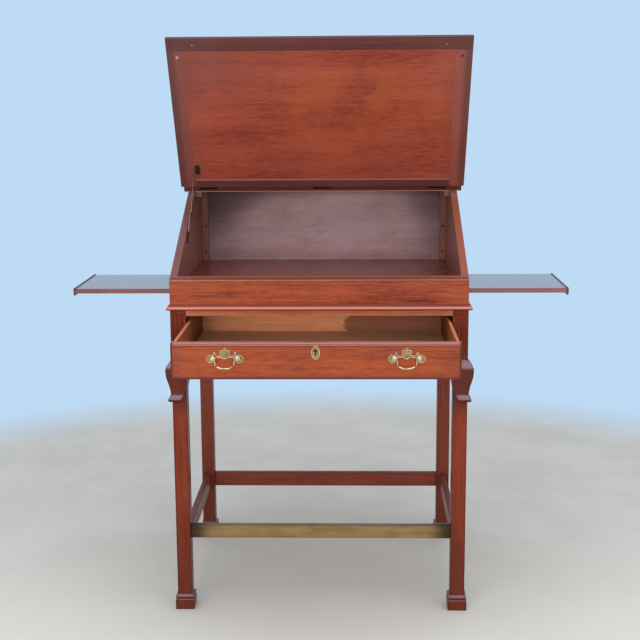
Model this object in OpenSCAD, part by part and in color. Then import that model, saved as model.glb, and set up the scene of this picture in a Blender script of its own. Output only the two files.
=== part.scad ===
// Stand-up architect's table: a slant-lid desk box on a tall open stand, shown with
// its lid up, its drawer part out and both side slides drawn out.
// X runs across the desk, Y from front to back, Z up. The origin is on the floor, at the
// middle of the whole shape, and the front faces -Y.

/* [Stand] */
// Width over the front posts
stand_w = 772; // [640:1:920]
// Depth over the legs
stand_d = 600; // [540:5:720]
// Height of the stand, up to the desk box
stand_h = 821; // [780:1:900]
// Side of the square post beside the drawer
post_w = 41; // [38:0.5:48]
// Side of the square leg below the knee
leg_w = 38; // [34:0.5:41]
// Thickness of the side and back aprons
apron_t = 19; // [14:0.5:24]
// How far the aprons stand back from the outer faces of the legs
apron_reveal = 3; // [0:0.5:6]
// Height of the front rail over the drawer
rail_t = 14; // [12:0.5:18]
// Height of the front rail under the drawer
blade_t = 14; // [10:0.5:18]
// Depth of both front rails
rail_d = 60; // [45:1:80]

/* [Feet] */
// Side of the block foot
foot_w = 50; // [44:0.5:56]
// Height of the block
foot_block_h = 28.5; // [20:0.5:40]
// Height of the groove between the two lips
foot_groove_h = 4; // [3:0.5:8]
// Height of the upper lip
foot_lip_h = 6; // [4:0.5:10]
// Height of the hollow that leads up to the leg
foot_cove_h = 3; // [2:0.5:18]

/* [Knees] */
// Height of the carved knee
knee_h = 113.5; // [90:0.5:130]
// How far the knee swells past the post
knee_swell = 14.5; // [8:0.5:22]
// How far the curled lip stands out
lip_swell = 10; // [5:0.5:14]
// How far the knee's inner edge is cut back above the lip
knee_sweep = 17; // [8:0.5:20]

/* [Flutes] */
// Number of flutes on each post
flute_count = 3; // [1:1:3]
// Distance between flutes
flute_pitch = 11; // [9:0.5:12]
// Width of a flute
flute_w = 7.4; // [3:0.1:8]
// Depth of a flute
flute_depth = 2.6; // [1:0.1:3]

/* [Stretchers] */
// Height of the side and back stretchers above the floor, to their lower edge
stretcher_z = 159; // [120:1:190]
// Height of a stretcher's face
stretcher_h = 43; // [30:1:60]
// Thickness of a stretcher
stretcher_t = 17; // [12:0.5:22]
// Height of the foot rail above the floor, to its lower edge
footrail_z = 199; // [140:1:260]
// Height of the foot rail's face
footrail_h = 34; // [26:1:44]
// Depth of the foot rail
footrail_d = 22; // [16:0.5:30]
// Thickness of the brass sheet on the foot rail
brass_t = 1.2; // [0.8:0.1:2]

/* [Desk box] */
// Thickness of the box sides and front
board_t = 19; // [15:0.5:22]
// Height of the box at the front
case_front_h = 77.5; // [74:0.5:110]
// Height of the box at the back
case_back_h = 273; // [220:1:330]
// Depth of the level part at the back
flat_d = 191; // [140:1:240]
// Thickness of the box bottom
bottom_t = 12; // [8:0.5:16]
// Height of the well floor above the stand
floor_h = 55; // [53:0.5:70]
// Thickness of the well floor
floor_t = 10; // [6:0.5:12]
// Thickness of the back board
back_t = 12; // [8:0.5:16]
// How far the back board stands in from the rear edges
back_inset = 7; // [2:0.5:12]
// Side of the upright battens in the rear corners
batten_w = 17; // [12:0.5:22]

/* [Waist moulding] */
// Height of the moulding
waist_h = 16; // [14:0.5:26]
// How far it stands out
waist_over = 9.5; // [8:0.5:16]
// Height of its round nose
waist_nose = 10; // [8:0.5:12]

/* [Flat top and lid] */
// Thickness of the flat top board
top_t = 19; // [16:0.5:22]
// Overhang of the flat top at the sides
top_over = 13.5; // [6:0.5:24]
// Overhang of the flat top at the back
top_back_over = 4; // [0:0.5:10]
// Thickness of the lid
lid_t = 15; // [14:0.5:20]
// Overhang of the lid at the sides
lid_over = 17.5; // [8:0.5:26]
// Length of the lid from its pin to its free edge
lid_len = 470; // [455:1:490]
// Angle that the lid opens through
lid_open = 85.5; // [60:0.1:100]
// Width of the lid's front rail
lid_rail_w = 37; // [26:0.5:50]
// Width of the lid's rail at the hinges
lid_hinge_rail_w = 30; // [18:0.5:36]
// How far that rail stands proud of the lid's underside
hinge_rail_proud = 3; // [0:0.5:4]
// Width of the lid's side rails
lid_stile_w = 43; // [30:0.5:56]
// Radius of the thumb-moulded edges
edge_r = 4; // [3:0.5:9]
// Height of the bumpers that the closed lid rests on
bumper_t = 1; // [0.6:0.1:2]
// Distance of the bumpers behind the lid's free edge
bumper_in = 55; // [40:1:120]
// Height of the paper ledge on the lid
ledge_h = 9; // [5:0.5:14]
// Width of the paper ledge
ledge_w = 12; // [8:0.5:18]

/* [Hinges] */
// Length of a hinge along its pin
hinge_len = 50; // [40:1:70]
// Height of a hinge leaf below the pin
hinge_leaf = 18; // [10:0.5:18]
// Thickness of a leaf
leaf_t = 1.6; // [1.2:0.1:2]
// Radius of the knuckles
knuckle_r = 3; // [2.6:0.1:3.4]
// Radius of the hinge pin
pin_r = 1.5; // [1:0.1:1.8]
// Distance of the outer hinges from the ends of the lid
hinge_inset = 74.5; // [60:0.5:160]
// Height of the hinge pins above the closed lid and the flat top
pin_rise = 4; // [2:0.5:6]
// Distance of the wood from the hinge pins
hinge_gap = 4; // [3.6:0.1:5]

/* [Lid stay] */
// Distance of the stay's fixed pivot behind the front
stay_y = 228; // [200:1:235]
// Height of the fixed pivot above the stand
stay_z = 179; // [165:1:182]
// Distance of the lid pivot from the hinge pin
stay_reach = 63; // [46:0.5:68]
// Depth of the lid pivot below the lid's underside
stay_drop = 7; // [6:0.5:9]
// Length of the lower arm
stay_lower_len = 62; // [56:0.5:76]
// Width of an arm
arm_w = 10; // [8:0.5:11]
// Thickness of an arm and its plates
arm_t = 2.6; // [1.6:0.1:3]
// Radius of the pivot studs
stud_r = 2.2; // [1.5:0.1:2.6]

/* [Side slides] */
// Width of a slide, front to back
slide_w = 257; // [200:1:300]
// Distance of the slides behind the front
slide_y = 88; // [70:1:110]
// Thickness of a slide
slide_t = 12.5; // [10:0.5:14]
// Height of the underside of the slides above the stand
slide_h = 30.5; // [28:0.5:31]
// Length of a slide's board
slide_len = 365; // [340:1:382]
// How far the slides are drawn out
slide_out = 264; // [0.5:0.5:275]
// Thickness of the end plate on a slide
plate_t = 6; // [5:0.5:20]
// Height of the end plate
plate_h = 21; // [16:0.5:23]
// How far the end plate stands above the slide
plate_rise = 2.5; // [0:0.5:4]
// Radius of the small knob on the end plate
knob_r = 3; // [2.6:0.2:8]

/* [Drawer] */
// Height of the drawer opening
opening_h = 103.5; // [90:0.5:120]
// Height of the drawer front
front_h = 87.5; // [80:0.5:96]
// Thickness of the drawer front
front_t = 20; // [17:0.5:24]
// Depth of the drawer
drawer_d = 540; // [440:1:550]
// Thickness of the drawer sides
side_t = 9; // [7:0.5:12]
// Thickness of the drawer back
drawer_back_t = 10; // [8:0.5:12]
// Thickness of the drawer bottom
drawer_bottom_t = 6; // [4:0.5:7]
// How far the drawer is pulled out
pull_out = 283; // [0:1:400]
// Width of the bead around the drawer front
bead_w = 4; // [3:0.5:6]
// How far the bead stands proud
bead_proud = 2; // [1:0.5:3]
// Number of dovetails on each corner
tail_count = 3; // [2:1:4]

/* [Drawer pulls] */
// Distance of each pull from the outer face of the post
pull_inset = 171; // [130:1:240]
// Height of the pull posts above the lower edge of the drawer front
pull_h = 50.5; // [42:0.5:54]
// Distance between the two posts of a pull
post_gap = 59; // [52:0.5:66]
// Distance of the bail's pivot in front of the plate
pivot_out = 10; // [8.5:0.5:14]
// Drop of the bail below its pivot
bail_drop = 24.5; // [20:0.5:30]
// Radius of the bail's wire at its ends
wire_r = 1.8; // [1.4:0.1:2.2]
// Thickness of the brass plates
pull_plate_t = 1.6; // [1:0.1:2.4]
// Height of the keyhole plate
key_plate_h = 33; // [26:0.5:35]
// Width of the keyhole plate
key_plate_w = 20.5; // [18:0.5:27]

/* [Hidden] */
$fn = 48;

mahogany = [0.50, 0.20, 0.12];
mahogany_dark = [0.33, 0.14, 0.10];
mahogany_field = [0.58, 0.24, 0.14];
oak = [0.62, 0.44, 0.28];
brass = [0.72, 0.58, 0.32];
bronze = [0.25, 0.22, 0.18];
steel = [0.55, 0.53, 0.50];
felt = [0.20, 0.15, 0.13];

// Working clearances
joint_gap = 0.1;
mitre_gap = 0.1;
wood_gap = 0.75;
running_gap = 0.05;
slack = 0.01;

// Stand levels and half sizes
half_w = stand_w / 2;
open_top = stand_h - rail_t;
open_low = open_top - opening_h;
blade_low = open_low - blade_t;
open_half = half_w - post_w;
leg_top_inset = apron_reveal + apron_t;
knee_top = blade_low;
cove_start = 250;

// Drawer
drawer_side_gap = 0.8;
drawer_low_gap = 1.5;
drawer_half = open_half - drawer_side_gap;
side_inset = 2.5;
side_out = drawer_half - side_inset;
side_in = side_out - side_t;
front_low = open_low + drawer_low_gap;
front_top = front_low + front_h;
bottom_top = front_low + 14.5;
groove_d = 4;
tail_y = 7;
kicker_gap = 2;
stop_h = 5;
bead_d = tail_y + bead_proud - 0.5;
key_z = front_top - 22.5;
key_r = 3.5;
lock_w = 50;
lock_h = 42;
lock_t = 9;
bolt_w = 18;
bolt_t = 5;
bolt_y = front_t - 7;
bolt_pocket = 7;
bolt_h = 30;
side_high = front_top - 1;

// Pulls
pull_x = half_w - pull_inset;
pull_z = front_low + pull_h;
bail_r_mid = wire_r * 1.45;
pivot_y = -pull_plate_t - pivot_out;
head_r = 4.2;
pull_reach = pull_plate_t + pivot_out + head_r;
shank_r = 2.5;
bail_pin_r = 1.3;
bail_sides = 10;
bearer_w = 30;
bail_half = post_gap / 2 - head_r - 2.6;

// Desk box
case_top = stand_h + case_back_h;
slope_low = stand_h + case_front_h;
slope_run = stand_d - flat_d;
slope = atan((case_back_h - case_front_h) / slope_run);
floor_top = stand_h + floor_h;
inner_half = half_w - board_t;
back_face = stand_d - back_inset - back_t;
batten_screw_z = [0.12, 0.47];
slide_low = stand_h + slide_h;
slide_top = slide_low + slide_t;

// Lid and hinge pin
seat_gap = bumper_t + 0.2;
top_face = case_top + top_t;
lid_low = pin_rise + lid_t;
pin_z = top_face + pin_rise;
pin_y = (pin_z - (lid_low + seat_gap) / cos(slope) - slope_low) / tan(slope);
lid_rest = slope - lid_open;
lid_half = half_w + lid_over;
top_half = half_w + top_over;
hinge_x = lid_half - hinge_inset;
leaf_y = hinge_gap - leaf_t;
edge_step = 1;
ledge_s = lid_len - 20;
ledge_half = inner_half - 24;
knuckle_gap = 0.3;
centre_len = hinge_len / 3;

// Lid stay
stay_n = -lid_low - stay_drop;
fixed_pivot = [stay_y, stand_h + stay_z];
lid_pivot = [pin_y - stay_reach * cos(lid_rest) - stay_n * sin(lid_rest),
             pin_z - stay_reach * sin(lid_rest) + stay_n * cos(lid_rest)];
stay_run = lid_pivot - fixed_pivot;
stay_angle = atan2(stay_run[1], stay_run[0]);
elbow = fixed_pivot + stay_lower_len * [cos(stay_angle), sin(stay_angle)];
stay_gap = 0.3;
lower_arm_x = -inner_half + arm_t + stay_gap;
upper_arm_x = lower_arm_x + arm_t + stay_gap;
ear_x = upper_arm_x + arm_t + stay_gap;

// Slides
slide_reach = half_w + slide_out;
knob_len = 7;
knob_round = 2.2;
plate_round = 4;
peg_r = 4;
peg_len = 11;
plate_high = slide_top + plate_rise;
plate_low = plate_high - plate_h;

// Whole shape, front to back
foot_over = (foot_w - leg_w) / 2;
front_reach = pull_out + pull_reach;
front_y = (front_reach - stand_d - foot_over) / 2;

// Places the desk's own frame, whose front face is y = 0
module desk() {
    translate([0, front_y, 0]) children();
}

// Places the lid's frame: pin on the X axis, lid along -Y, outer face pin_rise below the pin
module lid_frame(angle) {
    translate([0, pin_y, pin_z]) rotate([angle, 0, 0]) children();
}

// Moves the drawer from shut to its place in the photograph
module drawer_frame() {
    desk() translate([0, -pull_out, 0]) children();
}

module left_and_right() {
    children();
    mirror([1, 0, 0]) children();
}

// Box from its low corner to its high corner
module block(low, high) {
    translate(low) cube(high - low);
}

// Extrudes an outline in y and z along X
module along_x(x0, x1) {
    translate([x0, 0, 0]) rotate([90, 0, 90]) linear_extrude(x1 - x0) children();
}

// Extrudes an outline in x and z along Y
module along_y(y0, y1) {
    translate([0, y1, 0]) rotate([90, 0, 0]) linear_extrude(y1 - y0) children();
}

function bezier(a, b, c, d, n) = [
    for (i = [0 : n]) let (t = i / n, s = 1 - t)
        s * s * s * a + 3 * s * s * t * b + 3 * s * t * t * c + t * t * t * d
];

function arc(centre, r, from, to, n) = [
    for (i = [0 : n]) let (a = from + (to - from) * i / n)
        centre + r * [cos(a), sin(a)]
];

// Drops the repeated point where two curves meet
function tail(points) = [for (i = [1 : len(points) - 1]) points[i]];

// Outline of a foot and leg: how far the surface lies outside the leg, by height
function foot_curve() = concat(
    [[foot_over - 1, 0], [foot_over, 1], [foot_over, foot_block_h - 2]],
    tail(arc([foot_over - 2, foot_block_h - 2], 2, 0, 90, 4)),
    [[foot_over - 3, foot_block_h + 0.5], [foot_over - 3, foot_block_h + foot_groove_h]],
    arc([foot_over - 3, foot_block_h + foot_groove_h + foot_lip_h / 2],
        foot_lip_h / 2, -80, 80, 6),
    arc([foot_cove_h * 0.6, foot_block_h + foot_groove_h + foot_lip_h + foot_cove_h],
        foot_cove_h * 0.6, cove_start, 180, 6)
);

// Outline of the carved knee, measured out from the post and down from its top
function knee_curve() = concat(
    bezier([0, 0], [1, -5], [knee_swell * 0.5, -6], [knee_swell - 3, -15], 8),
    tail(bezier([knee_swell - 3, -15], [knee_swell - 0.5, -18],
                [knee_swell, -21], [knee_swell, -26], 6)),
    tail(bezier([knee_swell, -26], [knee_swell, -0.42 * knee_h],
                [knee_swell * 0.62, -0.5 * knee_h], [knee_swell * 0.4, -0.64 * knee_h], 10)),
    tail(bezier([knee_swell * 0.4, -0.64 * knee_h], [knee_swell * 0.24, -0.74 * knee_h],
                [knee_swell * 0.16, -0.8 * knee_h], [lip_swell * 0.42, -0.84 * knee_h], 6)),
    tail(arc([lip_swell - 6.5, -knee_h + 8], 6.5, 75, -90, 10)),
    [[0, -knee_h + 1.5]]
);

// Inner edge of the knee, measured out from the post's inner face
function knee_inner() = concat(
    [[0, -knee_h]],
    [[knee_sweep + 4, -knee_h], [knee_sweep + 4, -knee_h + 2]],
    bezier([knee_sweep, -knee_h + 4], [knee_sweep - 3, -knee_h + 16],
           [3, -0.78 * knee_h], [0, -0.55 * knee_h], 10)
);

function flip(points) = [for (i = [len(points) - 1 : -1 : 0]) points[i]];

// The leg's core, as the common part of the same outline seen from the front and the side
module leg_outline(upper_w) {
    steps = foot_curve();
    taper_low = knee_top - 0.5 * knee_h;
    polygon(concat(
        [for (p = steps) [half_w + p[0], p[1]]],
        [[half_w, stand_h], [half_w - upper_w, stand_h]],
        [[half_w - upper_w, taper_low + 20], [half_w - leg_w, taper_low - 10]],
        [for (p = flip(steps)) [half_w - leg_w - p[0], p[1]]]
    ));
}

// Turns an outline drawn on the right-hand post's front into its side view
module side_view() {
    translate([half_w, 0]) mirror([1, 0]) children();
}

module leg_core(upper_w) {
    intersection() {
        along_y(-foot_w, 2 * foot_w) leg_outline(upper_w);
        along_x(half_w - 2 * foot_w, half_w + foot_w) side_view() leg_outline(upper_w);
    }
}

module knee_outline() {
    inner = half_w - post_w;
    difference() {
        polygon(concat(
            [[inner, knee_top]],
            [for (p = knee_curve()) [half_w + p[0], knee_top + p[1]]],
            [[half_w - leg_w + 0.5, knee_top - knee_h + 1.5], [inner, knee_top - knee_h + 20]]
        ));
        polygon(concat(
            [[inner - 1, knee_top - knee_h - 1]],
            [for (p = tail(knee_inner())) [inner + p[0], knee_top + p[1]]],
            [[inner - 1, knee_top - 0.55 * knee_h]]
        ));
    }
}

module knee() {
    intersection() {
        along_y(-foot_w, 2 * foot_w) knee_outline();
        along_x(half_w - 2 * foot_w, half_w + foot_w) side_view() knee_outline();
    }
}

module flutes() {
    r = (flute_w * flute_w / 4 + flute_depth * flute_depth) / (2 * flute_depth);
    low = knee_top + 12;
    high = stand_h - 12;
    for (i = [0 : flute_count - 1]) {
        x = half_w - post_w / 2 + (i - (flute_count - 1) / 2) * flute_pitch;
        translate([x, flute_depth - r, low]) cylinder(h = high - low, r = r);
        translate([x, flute_depth - r, low]) sphere(r = r);
        translate([x, flute_depth - r, high]) sphere(r = r);
    }
}

module front_leg() {
    color(mahogany) difference() {
        union() {
            leg_core(post_w);
            knee();
        }
        flutes();
    }
}

module rear_leg() {
    color(mahogany) translate([0, stand_d, 0]) mirror([0, 1, 0]) leg_core(leg_w);
}

module leg_front_left() {
    desk() mirror([1, 0, 0]) front_leg();
}

module leg_front_right() {
    desk() front_leg();
}

module leg_rear_left() {
    desk() mirror([1, 0, 0]) rear_leg();
}

module leg_rear_right() {
    desk() rear_leg();
}

module side_aprons() {
    outer = half_w - apron_reveal;
    desk() color(mahogany) left_and_right()
        block([outer - apron_t, post_w, blade_low], [outer, stand_d - leg_w, stand_h]);
}

module back_apron() {
    outer = stand_d - apron_reveal;
    desk() color(mahogany)
        block([-half_w + leg_w, outer - apron_t, blade_low], [half_w - leg_w, outer, stand_h]);
}

// Front rail over the drawer, with a pocket for the lock bolt
module frieze_rail() {
    desk() color(mahogany) difference() {
        block([-open_half, 0, open_top], [open_half, rail_d, stand_h]);
        block([-bolt_w / 2 - 1, bolt_y - 1, open_top - 1],
              [bolt_w / 2 + 1, bolt_y + bolt_t + 1, open_top + bolt_pocket]);
    }
}

module drawer_blade() {
    desk() color(mahogany)
        block([-open_half, 0, blade_low], [open_half, rail_d, open_low]);
}

// The drawer's sides run on the lower part and between the upper parts
module drawer_runners() {
    outer = half_w - leg_top_inset;
    guide = side_out + drawer_side_gap;
    desk() color(oak) left_and_right() along_y(rail_d, stand_d - leg_w)
        polygon([[side_in - 14, blade_low], [outer, blade_low],
                 [outer, open_low + 36], [guide, open_low + 36],
                 [guide, open_low], [side_in - 14, open_low]]);
}

// Strips over the drawer's sides that keep it level when it is pulled out
module drawer_kickers() {
    outer = half_w - leg_top_inset;
    desk() color(oak) left_and_right()
        block([side_in - 14, rail_d, front_top + kicker_gap],
              [outer, stand_d - leg_w, stand_h]);
}

// Blocks on the lower rail that the shut drawer's front meets
module drawer_stops() {
    desk() color(oak) left_and_right()
        block([open_half * 0.5, front_t + 0.3, open_low],
              [open_half * 0.5 + 40, front_t + 18, open_low + stop_h]);
}

module side_stretchers() {
    middle = half_w - leg_w / 2;
    desk() color(mahogany) left_and_right()
        block([middle - stretcher_t / 2, leg_w, stretcher_z],
              [middle + stretcher_t / 2, stand_d - leg_w, stretcher_z + stretcher_h]);
}

module back_stretcher() {
    middle = stand_d - leg_w / 2;
    desk() color(mahogany)
        block([-half_w + leg_w, middle - stretcher_t / 2, stretcher_z],
              [half_w - leg_w, middle + stretcher_t / 2, stretcher_z + stretcher_h]);
}

module footrail_core() {
    middle = leg_w / 2;
    desk() color(mahogany_dark)
        block([-half_w + leg_w, middle - footrail_d / 2 + brass_t, footrail_z + brass_t],
              [half_w - leg_w, middle + footrail_d / 2,
               footrail_z + footrail_h - brass_t]);
}

// Brass sheet bent over the top, front and underside of the foot rail
module footrail_brass() {
    face = leg_w / 2 - footrail_d / 2;
    back = leg_w / 2 + footrail_d / 2;
    top = footrail_z + footrail_h;
    desk() color(brass) along_x(-half_w + leg_w, half_w - leg_w) difference() {
        polygon(concat(
            [[back, footrail_z]], [[back, top]],
            arc([face + 2, top - 2], 2, 90, 180, 4),
            arc([face + 2, footrail_z + 2], 2, 180, 270, 4)
        ));
        polygon([[back + 1, footrail_z + brass_t], [back + 1, top - brass_t],
                 [face + brass_t, top - brass_t], [face + brass_t, footrail_z + brass_t]]);
    }
}

module case_side_outline() {
    polygon([[board_t, stand_h], [stand_d, stand_h], [stand_d, case_top],
             [slope_run, case_top], [board_t, slope_low + board_t * tan(slope)]]);
}

module case_side() {
    color(mahogany) difference() {
        along_x(inner_half, half_w) case_side_outline();
        block([inner_half - 1, slide_y - wood_gap, slide_low - wood_gap],
              [half_w + 1, slide_y + slide_w + wood_gap, slide_top + wood_gap]);
    }
}

module case_side_left() {
    desk() mirror([1, 0, 0]) case_side();
}

module case_side_right() {
    desk() case_side();
}

// Front board, its top edge cut to the slope
module case_front() {
    desk() color(mahogany) along_x(-half_w, half_w)
        polygon([[0, stand_h], [board_t, stand_h],
                 [board_t, slope_low + board_t * tan(slope)], [0, slope_low]]);
}

module case_back() {
    desk() color(mahogany_dark)
        block([-inner_half, back_face, stand_h + bottom_t],
              [inner_half, back_face + back_t, case_top]);
}

module case_bottom() {
    desk() color(oak)
        block([-inner_half, board_t, stand_h],
              [inner_half, back_face + back_t, stand_h + bottom_t]);
}

// Outline of the waist moulding: round nose below, hollow above
module waist_outline() {
    r = waist_nose / 2;
    neck = waist_over - r - 0.5;
    polygon(concat(
        [[0, 0]],
        arc([waist_over - r, r], r, -90, 90, 12),
        [[neck, waist_nose + 0.8]],
        tail(bezier([neck, waist_nose + 0.8], [1.6, waist_nose + 1.2],
                    [1.2, waist_h - 4], [1.2, waist_h], 6)),
        [[0, waist_h]]
    ));
}

// Keeps what lies over an outline seen from above
module keep_over(points) {
    intersection() {
        children();
        translate([0, 0, stand_h - 1]) linear_extrude(waist_h + 2) polygon(points);
    }
}

// Three lengths round the front and both sides, mitred at the front corners
module waist_moulding() {
    far = waist_over + 5;
    desk() color(mahogany) {
        keep_over([[-half_w + mitre_gap + 1, 1], [-half_w - far + mitre_gap, -far],
                   [half_w + far - mitre_gap, -far], [half_w - mitre_gap - 1, 1]])
            along_x(-half_w - far, half_w + far)
                translate([0, stand_h]) mirror([1, 0]) waist_outline();
        left_and_right()
            keep_over([[half_w - 1, -1], [half_w, 0], [half_w + far, -far],
                       [half_w + far, stand_d + 1], [half_w - 1, stand_d + 1]])
                along_y(-far, stand_d) translate([half_w, stand_h]) waist_outline();
    }
}

// Rebated rails that carry the slides' edges, and the stop between their inner ends
module slide_bearers() {
    bed = stand_h + bottom_t;
    roof = floor_top - floor_t;
    shelf = 16;
    behind = slide_y + slide_w;
    desk() color(oak) {
        along_x(-inner_half, inner_half)
            polygon([[slide_y - bearer_w, bed], [slide_y + shelf, bed],
                     [slide_y + shelf, slide_low - wood_gap],
                     [slide_y - wood_gap, slide_low - wood_gap], [slide_y - wood_gap, roof],
                     [slide_y - bearer_w, roof]]);
        along_x(-inner_half, inner_half)
            polygon([[behind + bearer_w, bed], [behind + bearer_w, roof], [behind + wood_gap, roof],
                     [behind + wood_gap, slide_low - wood_gap],
                     [behind - shelf, slide_low - wood_gap], [behind - shelf, bed]]);
        block([-half_w + slide_len + 1, slide_y + 2 * bearer_w, bed],
              [half_w - slide_len - 1, slide_y + slide_w - 2 * bearer_w, roof]);
    }
}

// Floor of the well, notched round the battens
module well_floor() {
    low = floor_top - floor_t;
    desk() color(mahogany_dark) difference() {
        block([-inner_half, board_t, low], [inner_half, back_face, floor_top]);
        left_and_right() block([inner_half - batten_w, back_face - batten_w, low - 1],
                               [inner_half + 1, back_face + 1, floor_top + 1]);
    }
}

// Battens in the rear corners, standing on the box bottom
module rear_battens() {
    desk() color(mahogany_dark) left_and_right() difference() {
        block([inner_half - batten_w, back_face - batten_w, stand_h + bottom_t],
              [inner_half, back_face, case_top]);
        for (f = batten_screw_z)
            translate([inner_half - batten_w / 2, back_face - batten_w - 1,
                       floor_top + f * (case_top - floor_top)])
                rotate([-90, 0, 0]) cylinder(h = 5, r = 3.2);
    }
}

module batten_screws() {
    desk() color(steel) left_and_right() for (f = batten_screw_z)
        translate([inner_half - batten_w / 2, back_face - batten_w + 2,
                   floor_top + f * (case_top - floor_top)])
            rotate([-90, 0, 0]) cylinder(h = 2, r = 3.1);
}

// Small blocks that hold the flat top to the sides
module top_blocks() {
    desk() color(mahogany_dark) left_and_right()
        block([inner_half - 16, slope_run + 22, case_top - 15],
              [inner_half, slope_run + 50, case_top]);
}

// Thumb-moulded edge: a step and a quarter round over a square lower part
function thumb_edge(t, side) = concat(
    [[side, -t], [side, -edge_r - edge_step]],
    arc([side - edge_step - edge_r, -edge_r - 0.01], edge_r, 0, 90, 8)
);

// Level board behind the lid, moulded on three edges and bevelled where it meets the lid
module flat_top() {
    back_edge = stand_d + top_back_over;
    desk() color(mahogany) difference() {
        intersection() {
            along_y(0, back_edge) translate([0, top_face]) polygon(concat(
                thumb_edge(top_t, top_half),
                flip([for (p = thumb_edge(top_t, top_half)) [-p[0], p[1]]])));
            along_x(-top_half, top_half) translate([0, top_face]) polygon(concat(
                thumb_edge(top_t, back_edge), [[slope_run, 0], [slope_run, -top_t]]));
        }
        lid_frame(slope) block([-lid_half, -lid_len, -lid_len], [lid_half, hinge_gap, lid_len]);
    }
}

module at_hinges() {
    for (x = [-hinge_x, 0, hinge_x]) translate([x, 0, 0]) children();
}

// One leaf with its knuckles; outer = true gives the two outer knuckles
module hinge_leaf_shape(outer) {
    half = hinge_len / 2;
    inner = centre_len / 2;
    spans = outer ? [[-half, -inner - knuckle_gap], [inner + knuckle_gap, half]]
                  : [[-inner, inner]];
    difference() {
        union() {
            block([-half, leaf_y, -hinge_leaf], [half, leaf_y + leaf_t, -knuckle_r - 0.5]);
            for (s = spans) {
                block([s[0], leaf_y, -knuckle_r - 0.6], [s[1], leaf_y + leaf_t, 0]);
                translate([s[0], 0, 0]) rotate([0, 90, 0]) cylinder(h = s[1] - s[0], r = knuckle_r);
            }
        }
        translate([-half - 1, 0, 0]) rotate([0, 90, 0])
            cylinder(h = hinge_len + 2, r = outer ? pin_r - slack : pin_r + running_gap);
    }
}

module hinge_fixed_leaves() {
    desk() color(bronze) lid_frame(slope) at_hinges() hinge_leaf_shape(true);
}

module hinge_lid_leaves() {
    desk() color(bronze) lid_frame(lid_rest) at_hinges()
        mirror([0, 1, 0]) hinge_leaf_shape(false);
}

module hinge_pins() {
    desk() color(bronze) lid_frame(slope) at_hinges()
        translate([-hinge_len / 2, 0, 0]) rotate([0, 90, 0]) cylinder(h = hinge_len, r = pin_r);
}

// Whole lid as one slab with moulded edges, in the lid's frame
module lid_slab() {
    intersection() {
        along_y(-lid_len - 1, 0) translate([0, -pin_rise]) polygon(concat(
            thumb_edge(lid_t, lid_half),
            flip([for (p = thumb_edge(lid_t, lid_half)) [-p[0], p[1]]])));
        along_x(-lid_half, lid_half) translate([0, -pin_rise]) polygon(concat(
            [[-hinge_gap, 0], [-hinge_gap, -lid_t]],
            [for (p = thumb_edge(lid_t, lid_len)) [-p[0], p[1]]]));
    }
}

// Cuts one board of the lid out of the slab; x and the distance from the pin give its place
module lid_board(x0, x1, near, far) {
    desk() lid_frame(lid_rest) intersection() {
        lid_slab();
        block([x0, -far, -lid_low - 1], [x1, -near, 0]);
    }
}

module lid_front_rail() {
    color(mahogany_dark)
        lid_board(-lid_half, lid_half, lid_len - lid_rail_w, lid_len + 1);
}

module lid_stile_left() {
    color(mahogany_dark)
        lid_board(-lid_half, -lid_half + lid_stile_w, 0, lid_len - lid_rail_w);
}

module lid_stile_right() {
    color(mahogany_dark)
        lid_board(lid_half - lid_stile_w, lid_half, 0, lid_len - lid_rail_w);
}

// Rail at the hinges, thicker than the panel
module lid_hinge_rail() {
    end = lid_half - lid_stile_w;
    color(mahogany_dark) {
        lid_board(-end, end, 0, lid_hinge_rail_w);
        desk() lid_frame(lid_rest) along_x(-end, end) polygon([
            [-hinge_gap, -lid_low + 1], [-hinge_gap, -lid_low - hinge_rail_proud],
            [1 - lid_hinge_rail_w, -lid_low - hinge_rail_proud],
            [-lid_hinge_rail_w, 1 - lid_low - hinge_rail_proud],
            [-lid_hinge_rail_w, -lid_low + 1]]);
    }
}

module lid_panel() {
    color(mahogany_field) lid_board(-lid_half + lid_stile_w, lid_half - lid_stile_w,
                                    lid_hinge_rail_w, lid_len - lid_rail_w);
}

// Strip on the outer face that keeps papers from sliding off the closed lid
module lid_ledge() {
    half = ledge_w / 2;
    desk() color(mahogany) lid_frame(lid_rest) along_x(-ledge_half, ledge_half)
        translate([0, -pin_rise]) polygon(concat(
            [[-ledge_s - half, 0], [-ledge_s + half, 0]],
            arc([-ledge_s + half - 3, ledge_h - 3], 3, 0, 90, 5),
            arc([-ledge_s - half + 3, ledge_h - 3], 3, 90, 180, 5)));
}

module lid_bumpers() {
    desk() color(felt) lid_frame(lid_rest) left_and_right()
        translate([half_w - board_t / 2, -lid_len + bumper_in, -lid_low - bumper_t])
            cylinder(h = bumper_t, r = 4);
}

// Round-headed screws that hold the paper ledge, seen on the lid's underside
module lid_screws() {
    desk() color(brass) lid_frame(lid_rest) left_and_right()
        translate([ledge_half - 10, -ledge_s, -lid_low - 0.8]) cylinder(h = 0.8, r = 3.2);
}

// Flat arm with round ends, from one point to another in the plane of y and z
module arm(x, from, to) {
    run = to - from;
    translate([x, from[0], from[1]]) rotate([atan2(run[1], run[0]), 0, 0])
        rotate([90, 0, 90]) linear_extrude(arm_t) hull() {
            circle(r = arm_w / 2);
            translate([norm(run), 0]) circle(r = arm_w / 2);
        }
}

module pivot(x0, x1, at, r) {
    translate([x0, at[0], at[1]]) rotate([0, 90, 0]) cylinder(h = x1 - x0, r = r);
}

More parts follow.
